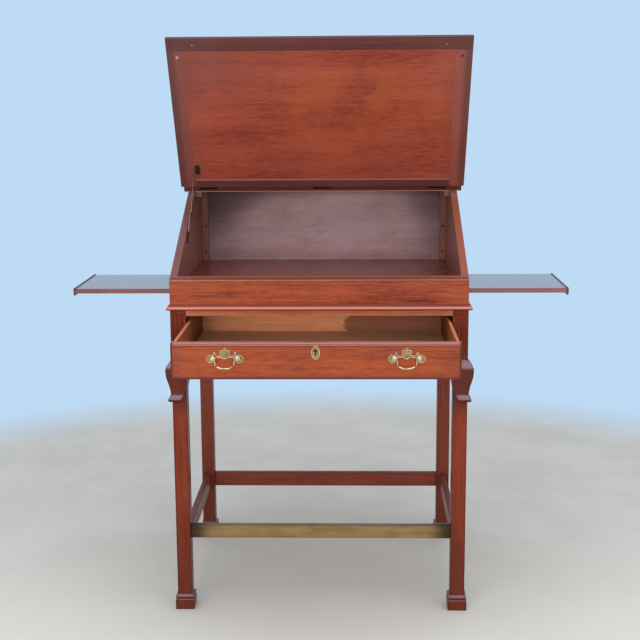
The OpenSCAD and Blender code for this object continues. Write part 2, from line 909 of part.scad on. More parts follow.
// Plate on the left side of the well, with the stud that the lower arm turns on
module stay_side_plate() {
    desk() color(bronze) {
        difference() {
            translate([-inner_half, fixed_pivot[0], fixed_pivot[1]]) rotate([90, 0, 90])
                linear_extrude(arm_t) hull() {
                    translate([0, -26]) circle(r = arm_w / 2 + 1);
                    circle(r = arm_w / 2 + 1);
                }
            for (dz = [-24, -11])
                pivot(-inner_half - 1, -inner_half + arm_t + 1, fixed_pivot + [0, dz], 1.8);
        }
        pivot(-inner_half + arm_t - slack, lower_arm_x + arm_t + 0.6, fixed_pivot, stud_r);
        pivot(lower_arm_x + arm_t + 0.1, lower_arm_x + arm_t + 1.2, fixed_pivot, stud_r + 1.6);
    }
}

module stay_lower_arm() {
    desk() color(bronze) {
        difference() {
            arm(lower_arm_x, fixed_pivot, elbow);
            pivot(lower_arm_x - 1, lower_arm_x + arm_t + 1, fixed_pivot, stud_r + running_gap);
        }
    }
}

module stay_upper_arm() {
    desk() color(bronze) {
        difference() {
            arm(upper_arm_x, elbow, lid_pivot);
            pivot(upper_arm_x - 1, upper_arm_x + arm_t + 1, lid_pivot, stud_r + running_gap);
        }
        pivot(upper_arm_x + arm_t - slack, upper_arm_x + arm_t + 1.2, elbow, stud_r + 1.6);
    }
}

// Angle bracket on the lid's underside, with the stud that the upper arm turns on
module stay_lid_bracket() {
    desk() color(bronze) lid_frame(lid_rest) {
        difference() {
            block([ear_x, -stay_reach - 14, -lid_low - arm_t],
                  [ear_x + 13, -stay_reach + 14, -lid_low]);
            for (dy = [-9, 9])
                translate([ear_x + 8, -stay_reach + dy, -lid_low - arm_t - 1])
                    cylinder(h = arm_t + 2, r = 1.6);
        }
        translate([ear_x, 0, 0]) rotate([90, 0, 90]) linear_extrude(arm_t) hull() {
            translate([-stay_reach, stay_n]) circle(r = arm_w / 2 - 0.5);
            translate([-stay_reach - 7, -lid_low - 1]) square([14, 1]);
        }
        translate([upper_arm_x - 0.3, -stay_reach, stay_n]) rotate([0, 90, 0])
            cylinder(h = ear_x - upper_arm_x + 0.4, r = stud_r);
    }
}

// Board of a slide, drawn out to the right, with the peg below it that stops it
module slide_board() {
    block([slide_reach - slide_len, slide_y, slide_low], [slide_reach, slide_y + slide_w, slide_top]);
    translate([inner_half - peg_r - 0.2, slide_y + slide_w / 2, slide_low - peg_len])
        cylinder(h = peg_len + 1, r = peg_r);
}

// End plate, a little higher than the slide, rounded on its outer edges and bevelled below
module slide_end() {
    bevel = 2;
    middle = slide_reach + plate_t - plate_round;
    difference() {
        along_y(slide_y, slide_y + slide_w) polygon(concat(
            [[slide_reach + bevel, plate_low], [slide_reach, plate_low + bevel]],
            [[slide_reach, plate_high - 1], [slide_reach + 1, plate_high]],
            arc([middle, plate_high - plate_round], plate_round, 90, 0, 5),
            arc([middle, plate_low + plate_round], plate_round, 0, -90, 5)));
        translate([slide_reach + plate_t - 4, slide_y + slide_w / 2, plate_low + plate_h / 2])
            rotate([0, 90, 0]) cylinder(h = 6, r = 1.5 + running_gap);
    }
}

// Small turned knob with its stem in the end plate
module slide_knob() {
    translate([slide_reach + plate_t, slide_y + slide_w / 2, plate_low + plate_h / 2])
        rotate([0, 90, 0]) {
            translate([0, 0, -3.8]) cylinder(h = 4, r = 1.5);
            rotate_extrude() polygon(concat(
                [[0, 0], [knob_r * 0.8, 0], [knob_r * 0.8, 0.8]],
                bezier([knob_r * 0.5, 1.2], [knob_r * 0.5, 2.4], [knob_r * 0.8, 3],
                       [knob_r, knob_len - knob_round - 0.2], 5),
                arc([knob_r - knob_round, knob_len - knob_round], knob_round, 0, 90, 6),
                [[0, knob_len]]));
        }
}

module slide_right() {
    desk() color(mahogany) slide_board();
}

module slide_right_end() {
    desk() color(mahogany) slide_end();
}

module slide_right_knob() {
    desk() color(brass) slide_knob();
}

module slide_left() {
    desk() color(mahogany) mirror([1, 0, 0]) slide_board();
}

module slide_left_end() {
    desk() color(mahogany) mirror([1, 0, 0]) slide_end();
}

module slide_left_knob() {
    desk() color(brass) mirror([1, 0, 0]) slide_knob();
}

// Dovetails on the front end of a drawer side, seen from the side
module tails(extra) {
    pitch = (front_h - 8) / tail_count;
    root = pitch * 0.26;
    flare = pitch * 0.38;
    for (i = [0 : tail_count - 1]) {
        z = front_low + 4 + (i + 0.5) * pitch;
        polygon([[front_t + 1, z - root - extra], [front_t, z - root - extra],
                 [tail_y - extra, z - flare - extra], [tail_y - extra, z + flare + extra],
                 [front_t, z + root + extra], [front_t + 1, z + root + extra]]);
    }
}

module drawer_side() {
    color(mahogany_field) difference() {
        union() {
            along_y(front_t, drawer_d) polygon(concat(
                [[side_in, front_low], [side_out, front_low]],
                arc([side_out - 3, side_high - 3], 3, 0, 90, 5),
                arc([side_in + 3, side_high - 3], 3, 90, 180, 5)));
            along_x(side_in, side_out) tails(0);
        }
        block([side_in - 1, tail_y, bottom_top - drawer_bottom_t - joint_gap],
              [side_in + groove_d, drawer_d + 1, bottom_top + joint_gap]);
    }
}

module drawer_sides() {
    drawer_frame() left_and_right() drawer_side();
}

// Outline of the keyhole: a round eye over a slot with a small round end
module keyhole(r) {
    translate([0, 4]) circle(r = r);
    translate([-r * 0.4, -4.5]) square([r * 0.8, 8]);
    translate([0, -4.5]) circle(r = r * 0.6);
}

module drawer_front() {
    drawer_frame() color(mahogany) difference() {
        block([-drawer_half, 0, front_low], [drawer_half, front_t, front_top]);
        bead_frame(1);
        left_and_right() along_x(side_in - joint_gap, side_out + joint_gap) tails(joint_gap);
        block([-side_in - groove_d, front_t - groove_d, bottom_top - drawer_bottom_t - joint_gap],
              [side_in + groove_d, front_t + 1, bottom_top + joint_gap]);
        block([-lock_w / 2 - joint_gap, front_t - lock_t - joint_gap, front_top - lock_h - joint_gap],
              [lock_w / 2 + joint_gap, front_t + 1, front_top + 1]);
        translate([0, front_t, key_z]) rotate([90, 0, 0]) linear_extrude(front_t + 1) keyhole(key_r);
        left_and_right() for (dx = [-post_gap / 2, post_gap / 2])
            translate([pull_x + dx, -1, pull_z]) rotate([-90, 0, 0])
                cylinder(h = front_t + 2, r = shank_r + joint_gap);
    }
}

// Frame-shaped space that the bead fills, opened towards the outside for a cutter
module bead_frame(outside) {
    difference() {
        block([-drawer_half - outside, -outside, front_low - outside],
              [drawer_half + outside, bead_d - bead_proud, front_top + outside]);
        block([-drawer_half + bead_w, -2 * outside - 1, front_low + bead_w],
              [drawer_half - bead_w, bead_d, front_top - bead_w]);
    }
}

// Round-nosed bead, mitred at the corners, standing proud of the drawer front
module drawer_bead() {
    r = bead_w / 2;
    nose = concat([[0, bead_d - bead_proud]], [[0, 0]],
                  arc([r, r - bead_proud], r, 180, 360, 8),
                  [[bead_w, bead_d - bead_proud]]);
    drawer_frame() color(mahogany) {
        bead_strip(2 * drawer_half, [-drawer_half, 0, front_low], [0, 0, 0], nose);
        bead_strip(2 * drawer_half, [drawer_half, 0, front_top], [0, 180, 0], nose);
        bead_strip(front_h, [drawer_half, 0, front_low], [0, -90, 0], nose);
        bead_strip(front_h, [-drawer_half, 0, front_top], [0, 90, 0], nose);
    }
}

// One bead of the given length along X, with 45 degree ends, turned into place
module bead_strip(length, at, turn, nose) {
    translate(at) rotate(turn) intersection() {
        along_x(0, length) polygon([for (p = nose) [p[1], p[0]]]);
        along_y(-bead_d, bead_d) polygon([[0, 0], [bead_w, bead_w],
                                          [length - bead_w, bead_w], [length, 0]]);
    }
}

module drawer_back() {
    drawer_frame() color(oak)
        block([-side_in, drawer_d - drawer_back_t - 6, bottom_top + joint_gap],
              [side_in, drawer_d - 6, side_high - 4]);
}

module drawer_bottom() {
    drawer_frame() color(oak)
        block([-side_in - groove_d + 0.5, front_t - groove_d + 0.5, bottom_top - drawer_bottom_t],
              [side_in + groove_d - 0.5, drawer_d - 2, bottom_top]);
}

// Outline of a pull's back plate: lobed shield in the middle, round wings at the posts
module pull_outline() {
    wing = post_gap / 2;
    translate([0, 10.2]) circle(r = 11.4);
    translate([0, 21]) circle(r = 4);
    left_and_right_2d() {
        translate([8, 17]) circle(r = 4);
        translate([wing + 4, -0.5]) scale([1.1, 1]) circle(r = 9.8);
        translate([wing - 4.5, 13.5]) circle(r = 2.6);
        polygon([[0, 2.2], [wing - 11, 2.6], [wing, -2], [wing, 7], [wing - 2.6, 13],
                 [wing - 6, 12], [wing - 8, 8.6], [13, 6.8], [0, 8]]);
    }
}

module left_and_right_2d() {
    children();
    mirror([1, 0]) children();
}

module at_pulls() {
    for (s = [-1, 1]) translate([s * pull_x, 0, pull_z]) children();
}

module pull_plates() {
    drawer_frame() color(brass) at_pulls() difference() {
        rotate([90, 0, 0]) linear_extrude(pull_plate_t) pull_outline();
        for (dx = [-post_gap / 2, post_gap / 2])
            translate([dx, -pull_plate_t - 1, 0]) rotate([-90, 0, 0])
                cylinder(h = pull_plate_t + 2, r = shank_r + joint_gap);
    }
}

// Turned post with a ball head, a shank through the drawer front and a nut behind it
module pull_post() {
    difference() {
        union() {
            rotate([-90, 0, 0]) cylinder(h = front_t + 8, r = shank_r);
            rotate([90, 0, 0]) rotate_extrude() polygon(concat(
                [[0, 0], [shank_r + 0.1, 0], [shank_r + 0.1, pull_plate_t], [6, pull_plate_t],
                 [6, pull_plate_t + 1]],
                bezier([4.5, pull_plate_t + 2], [3, pull_plate_t + 2.5],
                       [2.8, pull_plate_t + 4], [3.2, pull_plate_t + pivot_out - 3], 5),
                [[0, pull_plate_t + pivot_out - 3]]));
            translate([0, pivot_y, 0]) rotate([90, 0, 0]) sphere(r = head_r);
        }
        translate([-head_r - 1, pivot_y, 0]) rotate([0, 90, 0])
            cylinder(h = 2 * head_r + 2, r = bail_pin_r + running_gap);
    }
}

module pull_posts() {
    drawer_frame() color(brass) at_pulls() for (dx = [-post_gap / 2, post_gap / 2])
        translate([dx, 0, 0]) {
            pull_post();
            translate([0, front_t, 0]) rotate([-90, 0, 0]) difference() {
                cylinder(h = 4, r = 5.5, $fn = 6);
                translate([0, 0, -1]) cylinder(h = 6, r = shank_r + running_gap);
            }
        }
}

// Half of the bail's middle line, from a pivot down the cheek and along the bow
function bail_half_line() =
    let (cheek = [bail_half * 0.97, -0.6 * bail_drop])
    concat(
        bezier([bail_half, 0], [bail_half + 0.5, -0.2 * bail_drop],
               [bail_half + 0.5, -0.35 * bail_drop], cheek, 6),
        tail(bezier(cheek, [bail_half * 0.85, -0.9 * bail_drop],
                    [bail_half * 0.5, -bail_drop], [0, -bail_drop], 8)));

// The wire is thickest in the bow
function bail_wire(t) = wire_r + (bail_r_mid - wire_r) * pow(sin(180 * t), 4);

// Bail as one swept skin, hanging from its pivot
module bail_skin() {
    half = bail_half_line();
    line = concat([for (p = half) [-p[0], p[1]]], tail(flip(half)));
    last = len(line) - 1;
    rings = [for (i = [0 : last])
        let (p = line[i],
             d = line[min(last, i + 1)] - line[max(0, i - 1)],
             n = [-d[1], d[0]] / norm(d),
             r = bail_wire(i / last))
        [for (j = [0 : bail_sides - 1])
            let (a = 360 * j / bail_sides)
            [p[0] + r * cos(a) * n[0], r * sin(a), p[1] + r * cos(a) * n[1]]]];
    points = [for (ring = rings) each ring];
    sides = [for (i = [0 : last - 1], j = [0 : bail_sides - 1])
        let (k = (j + 1) % bail_sides)
        each [[i * bail_sides + j, (i + 1) * bail_sides + k, (i + 1) * bail_sides + j],
              [i * bail_sides + j, i * bail_sides + k, (i + 1) * bail_sides + k]]];
    near_cap = [[for (j = [bail_sides - 1 : -1 : 0]) j]];
    far_cap = [[for (j = [0 : bail_sides - 1]) last * bail_sides + j]];
    polyhedron(points, concat(sides, near_cap, far_cap));
}

// Bail with the two pins that turn in the posts' heads
module bail() {
    translate([0, pivot_y, 0]) {
        bail_skin();
        left_and_right() {
            translate([bail_half * 0.66, 0, -bail_drop * 0.77]) sphere(r = 2.1, $fn = 16);
            translate([bail_half, 0, 0]) sphere(r = wire_r + 0.4, $fn = 16);
            translate([bail_half, 0, 0]) rotate([0, 90, 0])
                cylinder(h = post_gap / 2 + 1 - bail_half, r = bail_pin_r, $fn = 16);
        }
    }
}

module bail_left() {
    drawer_frame() color(brass) translate([-pull_x, 0, pull_z]) bail();
}

module bail_right() {
    drawer_frame() color(brass) translate([pull_x, 0, pull_z]) bail();
}

// Oval keyhole plate with a raised rim
module key_plate() {
    drawer_frame() color(brass) translate([0, 0, key_z]) rotate([90, 0, 0]) difference() {
        union() {
            linear_extrude(1) scale([key_plate_w / key_plate_h, 1]) circle(d = key_plate_h);
            linear_extrude(2.2) difference() {
                scale([key_plate_w / key_plate_h, 1]) circle(d = key_plate_h);
                scale([(key_plate_w - 4.4) / (key_plate_h - 4.4), 1]) circle(d = key_plate_h - 4.4);
            }
        }
        translate([0, 0, -1]) linear_extrude(5) keyhole(key_r);
    }
}

// Lock case with an open channel for the bolt and the keyhole in its front wall
module drawer_lock() {
    drawer_frame() color(brass) difference() {
        block([-lock_w / 2, front_t - lock_t, front_top - lock_h], [lock_w / 2, front_t, front_top]);
        block([-bolt_w / 2 - wood_gap, bolt_y - 0.4, front_top - bolt_h - 1],
              [bolt_w / 2 + wood_gap, bolt_y + bolt_t + 0.4, front_top + 1]);
        translate([0, bolt_y, key_z]) rotate([90, 0, 0])
            linear_extrude(bolt_y - front_t + lock_t + 1) keyhole(key_r);
    }
}

module lock_bolt() {
    drawer_frame() color(steel)
        block([-bolt_w / 2, bolt_y, front_top - bolt_h - 0.5],
              [bolt_w / 2, bolt_y + bolt_t, front_top - 0.5]);
}

leg_front_left();
leg_front_right();
leg_rear_left();
leg_rear_right();
side_aprons();
back_apron();
frieze_rail();
drawer_blade();
drawer_runners();
drawer_kickers();
drawer_stops();
side_stretchers();
back_stretcher();
footrail_core();
footrail_brass();
case_side_left();
case_side_right();
case_front();
case_back();
case_bottom();
waist_moulding();
slide_bearers();
well_floor();
rear_battens();
batten_screws();
top_blocks();
flat_top();
hinge_fixed_leaves();
hinge_pins();
lid_panel();
lid_front_rail();
lid_hinge_rail();
lid_stile_left();
lid_stile_right();
lid_ledge();
lid_bumpers();
lid_screws();
hinge_lid_leaves();
stay_side_plate();
stay_lower_arm();
stay_upper_arm();
stay_lid_bracket();
slide_left();
slide_left_end();
slide_left_knob();
slide_right();
slide_right_end();
slide_right_knob();
drawer_front();
drawer_bead();
drawer_sides();
drawer_back();
drawer_bottom();
pull_plates();
pull_posts();
bail_left();
bail_right();
key_plate();
drawer_lock();
lock_bolt();
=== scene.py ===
import math

import bmesh
import bpy
from mathutils import Matrix, Vector


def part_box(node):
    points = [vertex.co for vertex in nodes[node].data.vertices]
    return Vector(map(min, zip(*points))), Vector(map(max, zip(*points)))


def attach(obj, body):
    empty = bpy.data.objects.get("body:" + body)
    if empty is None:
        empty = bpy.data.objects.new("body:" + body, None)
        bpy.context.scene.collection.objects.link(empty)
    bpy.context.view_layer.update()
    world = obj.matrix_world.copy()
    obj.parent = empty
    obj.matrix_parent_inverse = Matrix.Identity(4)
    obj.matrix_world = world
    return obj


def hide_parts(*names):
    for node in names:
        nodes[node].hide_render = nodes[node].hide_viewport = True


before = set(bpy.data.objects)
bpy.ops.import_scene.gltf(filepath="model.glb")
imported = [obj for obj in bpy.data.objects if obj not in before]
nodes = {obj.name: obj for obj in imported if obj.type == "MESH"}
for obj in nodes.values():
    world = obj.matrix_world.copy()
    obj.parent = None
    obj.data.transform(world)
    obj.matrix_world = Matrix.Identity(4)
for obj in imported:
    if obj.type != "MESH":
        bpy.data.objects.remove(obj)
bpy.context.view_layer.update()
print("frame loaded:", len(nodes), "nodes")

# lengths are in metres and colours are linear
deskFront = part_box("case_front")[0][1]  # y of the desk box's front
lidTurn = math.radians(59.952)  # the raised lid's lean from level


# shader helpers

class Value:
    # wraps one output socket, so shader maths can be written as plain sums
    def __init__(self, paint, socket):
        self.paint = paint
        self.socket = socket

    def maths(self, operation, a, b=None, clamp=False):
        inputs = {0: a}
        if b is not None:
            inputs[1] = b
        return self.paint.make("ShaderNodeMath", {"operation": operation, "use_clamp": clamp}, inputs)

    def __add__(self, other):
        return self.maths("ADD", self, other)

    def __radd__(self, other):
        return self.maths("ADD", other, self)

    def __sub__(self, other):
        return self.maths("SUBTRACT", self, other)

    def __rsub__(self, other):
        return self.maths("SUBTRACT", other, self)

    def __mul__(self, other):
        return self.maths("MULTIPLY", self, other)

    def clamped(self):
        return self.maths("ADD", self, 0.0, clamp=True)

    def size(self):
        return self.maths("ABSOLUTE", self)

    def between(self, low, high):
        # 0 below low, 1 above high, smooth between
        return self.paint.make("ShaderNodeMapRange", {"interpolation_type": "SMOOTHSTEP"},
                               {"Value": self, "From Min": low, "From Max": high})

    def rise(self, base, span):
        # the same, with both ends of the span measured from a base
        return self.between(base + span[0], base + span[1])

    def fall(self, base, span):
        return 1.0 - self.rise(base, span)


class Paint:
    def __init__(self, name, tree=None):
        self.tree = tree
        if tree is None:
            self.material = bpy.data.materials.new(name)
            self.material.use_nodes = True
            self.tree = self.material.node_tree
            self.shader = self.tree.nodes["Principled BSDF"]

    def feed(self, socket, value):
        if isinstance(value, Value):
            self.tree.links.new(value.socket, socket)
        elif isinstance(value, tuple) and len(value) == 3 and socket.type == "RGBA":
            socket.default_value = (*value, 1.0)
        else:
            socket.default_value = value

    def make(self, kind, settings=None, inputs=None, output=0):
        made = self.tree.nodes.new(kind)
        for key, value in (settings or {}).items():
            if key == "stops":
                ramp = made.color_ramp.elements
                while len(ramp) < len(value):
                    ramp.new(0.5)
                for stop, (place, colour) in zip(ramp, value):
                    stop.position = place
                    stop.color = (*colour, 1.0)
            else:
                setattr(made, key, value)
        for key, value in (inputs or {}).items():
            self.feed(made.inputs[key], value)
        return Value(self, made.outputs[output])

    def stretched(self, vector, scale):
        return self.make("ShaderNodeVectorMath", {"operation": "MULTIPLY"}, {0: vector, 1: scale})

    def dot(self, first, second):
        return self.make("ShaderNodeVectorMath", {"operation": "DOT_PRODUCT"},
                         {0: first, 1: second}, output="Value")

    def noise(self, vector, scale, detail=3.0, rough=0.5, bend=0.0):
        return self.make("ShaderNodeTexNoise", {"noise_dimensions": "3D"},
                         {"Vector": vector, "Scale": scale, "Detail": detail,
                          "Roughness": rough, "Distortion": bend})

    def tint(self, factor, first, second):
        return self.make("ShaderNodeMix", {"data_type": "RGBA", "blend_type": "MIX"},
                         {0: factor, 6: first, 7: second}, output=2)

    def stainAndLight(self, mask, colour, stainAndLight):
        # stainAndLight: the strength where the mask is 1, and the colour; it lays real stains and painted
        # light and shade alike
        strength, tone = stainAndLight
        return self.tint(mask * strength, colour, tone)

    def place(self, turn=(0, 0, 0), shift=(0, 0, 0)):
        spot = self.make("ShaderNodeTexCoord", output="Object")
        return self.make("ShaderNodeMapping", {}, {"Vector": spot, "Rotation": turn, "Location": shift})

    def part(self, vector, axis):
        return self.make("ShaderNodeSeparateXYZ", {}, {"Vector": vector}, output=axis)

    def along(self, axis):
        return self.part(self.place(), axis)

    def spot(self, centre, reach):
        # 1 at a place on the piece, fading to 0 at its reach; None leaves that axis out
        seat = self.place()
        total = None
        for axis in range(3):
            if reach[axis]:
                step = (self.part(seat, axis) - centre[axis]) * (1.0 / reach[axis])
                total = step * step if total is None else total + step * step
        return 1.0 - total.between(0.0, 1.0)

    def trueNormal(self):
        return self.make("ShaderNodeNewGeometry", output="True Normal")

    def facing(self, way):
        # how squarely the surface faces a direction
        return self.dot(self.trueNormal(), way)

    def softEdge(self, radius):
        return self.make("ShaderNodeBevel", {"samples": 6}, {"Radius": radius})

    def edgeMask(self, soft, gain):
        # how far the rounded normal leans from the true one: 1 on an arris
        return ((1.0 - self.dot(soft, self.trueNormal())) * gain).clamped()

    def crevice(self, reach):
        # 1 deep in a groove or a tight corner, 0 in the open
        openness = self.make("ShaderNodeAmbientOcclusion", {"samples": 8}, {"Distance": reach}, output="AO")
        return (1.0 - openness).between(0.30, 0.85)

    def bump(self, height, strength, distance, normal=None):
        inputs = {"Strength": strength, "Distance": distance, "Height": height}
        if normal is not None:
            inputs["Normal"] = normal
        return self.make("ShaderNodeBump", {}, inputs)

    def finish(self, **inputs):
        names = {"colour": "Base Color", "rough": "Roughness", "metal": "Metallic", "normal": "Normal",
                 "coat": "Coat Weight", "coatRough": "Coat Roughness", "shine": "Specular IOR Level"}
        for key, value in inputs.items():
            self.feed(self.shader.inputs[names[key]], value)
        return self.material


def scaled(tone, share):
    return tuple(c * share for c in tone)


def dress(name, material):
    mesh = nodes[name].data
    mesh.materials.clear()
    mesh.materials.append(material)


# wood

grainTurns = {
    "x": (0, 0, 0),
    "y": (0, 0, -math.pi / 2),
    "z": (0, math.pi / 2, 0),
    "lidX": (lidTurn, 0, 0),
    "lidY": (lidTurn, 0, -math.pi / 2),
}

# each layer of the figure: how it is squeezed along and across the grain, then its noise
grainLayers = {
    "broad": ((0.8, 7.0, 7.0), (1.6, 4.0, 0.55, 0.9)),
    "ribbon": ((1.6, 34.0, 34.0), (1.7, 3.0, 0.6, 0.4)),
    "streak": ((5.0, 210.0, 210.0), (1.3, 4.0, 0.62, 0.2)),
    "pore": ((38.0, 900.0, 900.0), (1.0, 2.0, 0.5)),
    "fleck": ((34.0, 260.0, 260.0), (1.0, 4.0, 0.70, 0.3)),
}

woodTints = {
    "deep": (0.98, 1.15, 1.05),    # what spread takes from the tone in the dark bands
    "bright": (0.62, 0.95, 0.90),  # and adds to it in the light ones
    "pore": 0.35,                  # shares of the tone; the dirt share also colours the painted shade in the corners
    "beside": 0.25,
    "dirt": 0.22,
    "wearAndSheen": (2.0, 3.2, 3.4),     # bare wood and a painted highlight on the arrises, against the tone
    "wearAndSheenRed": 0.6,              # the most red that it may have
    "arris": 0.0011,
    "edgeShadeReach": 0.009,             # how far from an arris the painted shade reaches
}


def woodLook(tone, **changes):
    look = {
        "tone": tone,         # the wood's middle colour
        "spread": 0.50,       # contrast between its dark and light bands
        "figure": 0.50,       # strength of the broad bands
        "streak": 0.50,       # strength of the fine lines
        "fleck": 0.55,        # short dark and light dashes along the grain
        "rough": 0.34,
        "coat": 0.30,
        "coatRough": 0.12,
        "shine": 0.18,
        "wear": 0.45,         # how far the arrises are rubbed bare and brightened by a painted highlight
        "grimeAndShade": 0.75,        # dirt and painted shade in the corners
        "shade": 0.0,         # how dark the painted shade beside the arrises is, as where a rounded piece turns from the light
    }
    return {**look, **changes}


def woodPaint(node, look, grain, shift, zones):
    paint = Paint(node + "Wood")
    tone, spread, tints = look["tone"], look["spread"], woodTints
    deep = tuple(c * (1 - k * spread) for c, k in zip(tone, tints["deep"]))
    bright = tuple(c * (1 + k * spread) for c, k in zip(tone, tints["bright"]))
    seat = paint.place(grainTurns[grain], (shift * 3.1, shift * 1.7, shift * 2.3))
    broad, ribbon, streak, pore, fleck = (paint.noise(paint.stretched(seat, squeeze), *noise)
                                          for squeeze, noise in grainLayers.values())
    cloud = paint.noise(seat, 5.5, 3.0, 0.5)
    body = broad * look["figure"] + ribbon * (0.85 - look["figure"])
    body = body + streak * look["streak"] - look["streak"] * 0.5
    body = body + (cloud - 0.5) * 0.30 + (fleck - 0.5) * look["fleck"] + 0.075
    stops = [(0.20, deep), (0.50, tone), (0.80, bright)]
    colour = paint.make("ShaderNodeValToRGB", {"stops": stops}, {"Fac": body})
    poreMask = pore.between(0.60, 0.72)
    colour = paint.tint(poreMask * 0.40, colour, scaled(tone, tints["pore"]))
    if zones:
        colour = zones(paint, colour, *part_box(node))
    # painted shade beside the arrises, which makes the legs read as rounded
    if look["shade"]:
        beside = paint.edgeMask(paint.softEdge(tints["edgeShadeReach"]), 5.0)
        colour = paint.tint(beside * look["shade"], colour, scaled(tone, tints["beside"]))
    soft = paint.softEdge(tints["arris"])
    # the arrises are rubbed bare and also carry a painted highlight, as a rounded arris catches the light
    wearAndSheen = paint.edgeMask(soft, 3.2) * paint.noise(seat, 46.0, 3.0, 0.6).between(0.36, 0.62)
    red, green, blue = (c * k for c, k in zip(tone, tints["wearAndSheen"]))
    colour = paint.tint(wearAndSheen * look["wear"], colour, (min(red, tints["wearAndSheenRed"]), green, blue))
    # dirt and painted shade: ambient occlusion darkens the corners, where dirt gathers and shade falls
    dirt = paint.crevice(0.007) * (paint.noise(seat, 60.0, 3.0, 0.6) * 0.5 + 0.72)
    colour = paint.tint((dirt * look["grimeAndShade"]).clamped(), colour, scaled(tone, tints["dirt"]))
    smear = paint.noise(seat, 13.0, 4.0, 0.6)
    rough = look["rough"] + (smear - 0.5) * 0.20 + (streak - 0.5) * 0.12
    rough = rough + poreMask * 0.12 + wearAndSheen * 0.10 + dirt * 0.2
    coat = (look["coat"] + (smear - 0.5) * 0.30 - wearAndSheen * 0.3 - dirt * 0.4).clamped()
    normal = paint.bump(streak * 0.5 + ribbon * 0.3 - poreMask * 0.6, 0.14, 0.0006, soft)
    return paint.finish(colour=colour, rough=rough, coat=coat, coatRough=look["coatRough"],
                        normal=normal, shine=look["shine"])


# Each zones function stains one piece, whose box is low to high, and some paint light and shade on it.
# Its dictionary holds the stains and painted light and shade, as strength and colour, and the spans, which
# are measured from an edge of that box.

panelWear = {
    "glow": (0.55, (0.420, 0.088, 0.030)), "glowAt": (0.11, 0, 1.315), "glowReach": (0.30, None, 0.15),
    "cool": (0.55, (0.180, 0.050, 0.040)), "coolAt": (-0.30, 0, 1.46), "coolReach": (0.30, None, 0.12),
    "rim": (0.35, (0.175, 0.040, 0.026)), "rimSpan": (-0.0455, 0.0015),
}


def panelZones(paint, colour, low, high):
    # the panel glows orange right of the middle and turns purple in its upper left corner
    wear = panelWear
    mottle = paint.noise(paint.place(grainTurns["lidX"]), 7.0, 4.0, 0.6)
    glow = paint.spot(wear["glowAt"], wear["glowReach"]) * mottle.between(0.30, 0.60)
    colour = paint.stainAndLight(glow, colour, wear["glow"])
    cool = paint.spot(wear["coolAt"], wear["coolReach"]) * mottle.between(0.25, 0.60)
    colour = paint.stainAndLight(cool, colour, wear["cool"])
    return paint.stainAndLight(paint.along("X").size().rise(high[0], wear["rimSpan"]), colour, wear["rim"])


stileWear = {
    "body": (0.110, 0.040, 0.036), "left": 0.55, "right": 0.33,
    "outer": (0.70, (0.075, 0.026, 0.022)), "outerSpan": (0.0155, 0.0315),
}


def stileZones(paint, colour, low, high):
    # the outer edge of each stile is stained darker than its inner band
    wear = stileWear
    inner = min(abs(low[0]), abs(high[0]))
    colour = paint.tint(wear["right" if low[0] > 0 else "left"], colour, wear["body"])
    return paint.stainAndLight(paint.along("X").size().rise(inner, wear["outerSpan"]), colour, wear["outer"])


hingeRailSheen = {"lit": (0.50, (0.380, 0.190, 0.160)), "litSpan": (-0.01196, -0.01096)}


def hingeRailZones(paint, colour, low, high):
    # painted highlight: the proud arris beside the panel catches the light as a thin light line
    lit = paint.along("Z").rise(high[2], hingeRailSheen["litSpan"])
    return paint.stainAndLight(lit, colour, hingeRailSheen["lit"])


backStainAndShade = {
    "brown": (0.34, (0.150, 0.068, 0.060)),
    "bleached": (0.25, (0.330, 0.230, 0.255)),
    "high": (0.55, (0.090, 0.045, 0.045)), "highSpan": (-0.114, 0.0),
    "corners": (0.70, (0.050, 0.026, 0.028)),
    "leftReach": (0.22, None, 0.14), "rightReach": (0.18, None, 0.14),
    "sides": (0.40, (0.070, 0.042, 0.046)), "sideSpan": (-0.147, 0.003),
    "low": (0.40, (0.260, 0.105, 0.092)), "lowSpan": (0.004, 0.049),
    "foot": (0.60, (0.42, 0.27, 0.26)), "footSpan": (0.0015, 0.0040),
    "outside": (0.75, (0.150, 0.052, 0.034)),
}


def backZones(paint, colour, low, high):
    # painted shade darkens the well's back towards its top, its upper corners and its sides, and a painted
    # highlight catches its foot
    wear = backStainAndShade
    seat = paint.place((0, 0.35, 0))
    cloud = paint.noise(paint.stretched(seat, (0.7, 1.0, 1.5)), 8.0, 6.0, 0.68, 0.3)
    colour = paint.stainAndLight(cloud.between(0.40, 0.72), colour, wear["brown"])
    colour = paint.stainAndLight(1.0 - cloud.between(0.30, 0.55), colour, wear["bleached"])
    # painted shade at the top, then in the upper corners and down the sides
    colour = paint.stainAndLight(paint.part(seat, "Z").rise(high[2], wear["highSpan"]), colour, wear["high"])
    corners = paint.spot((low[0], 0, high[2]), wear["leftReach"])
    corners = corners + paint.spot((high[0], 0, high[2]), wear["rightReach"])
    colour = paint.stainAndLight(corners, colour, wear["corners"])
    sides = (paint.along("X").size() + (cloud - 0.5) * 0.12).rise(high[0], wear["sideSpan"])
    colour = paint.stainAndLight(sides, colour, wear["sides"])
    height = paint.along("Z")
    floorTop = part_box("well_floor")[1][2]
    colour = paint.stainAndLight(height.fall(floorTop, wear["lowSpan"]), colour, wear["low"])
    colour = paint.stainAndLight(height.fall(floorTop, wear["footSpan"]), colour, wear["foot"])
    return paint.stainAndLight(paint.facing((0.0, 1.0, 0.0)).between(0.5, 0.9), colour, wear["outside"])


drawerBackToneAndShadow = {
    "tan": (0.45, (0.130, 0.048, 0.024)), "highSpan": (-0.0135, 0.0015), "leftSpan": (-0.0023, 0.0477),
    "right": (0.80, (0.180, 0.062, 0.046)), "seam": (0.062, 0.074),
}


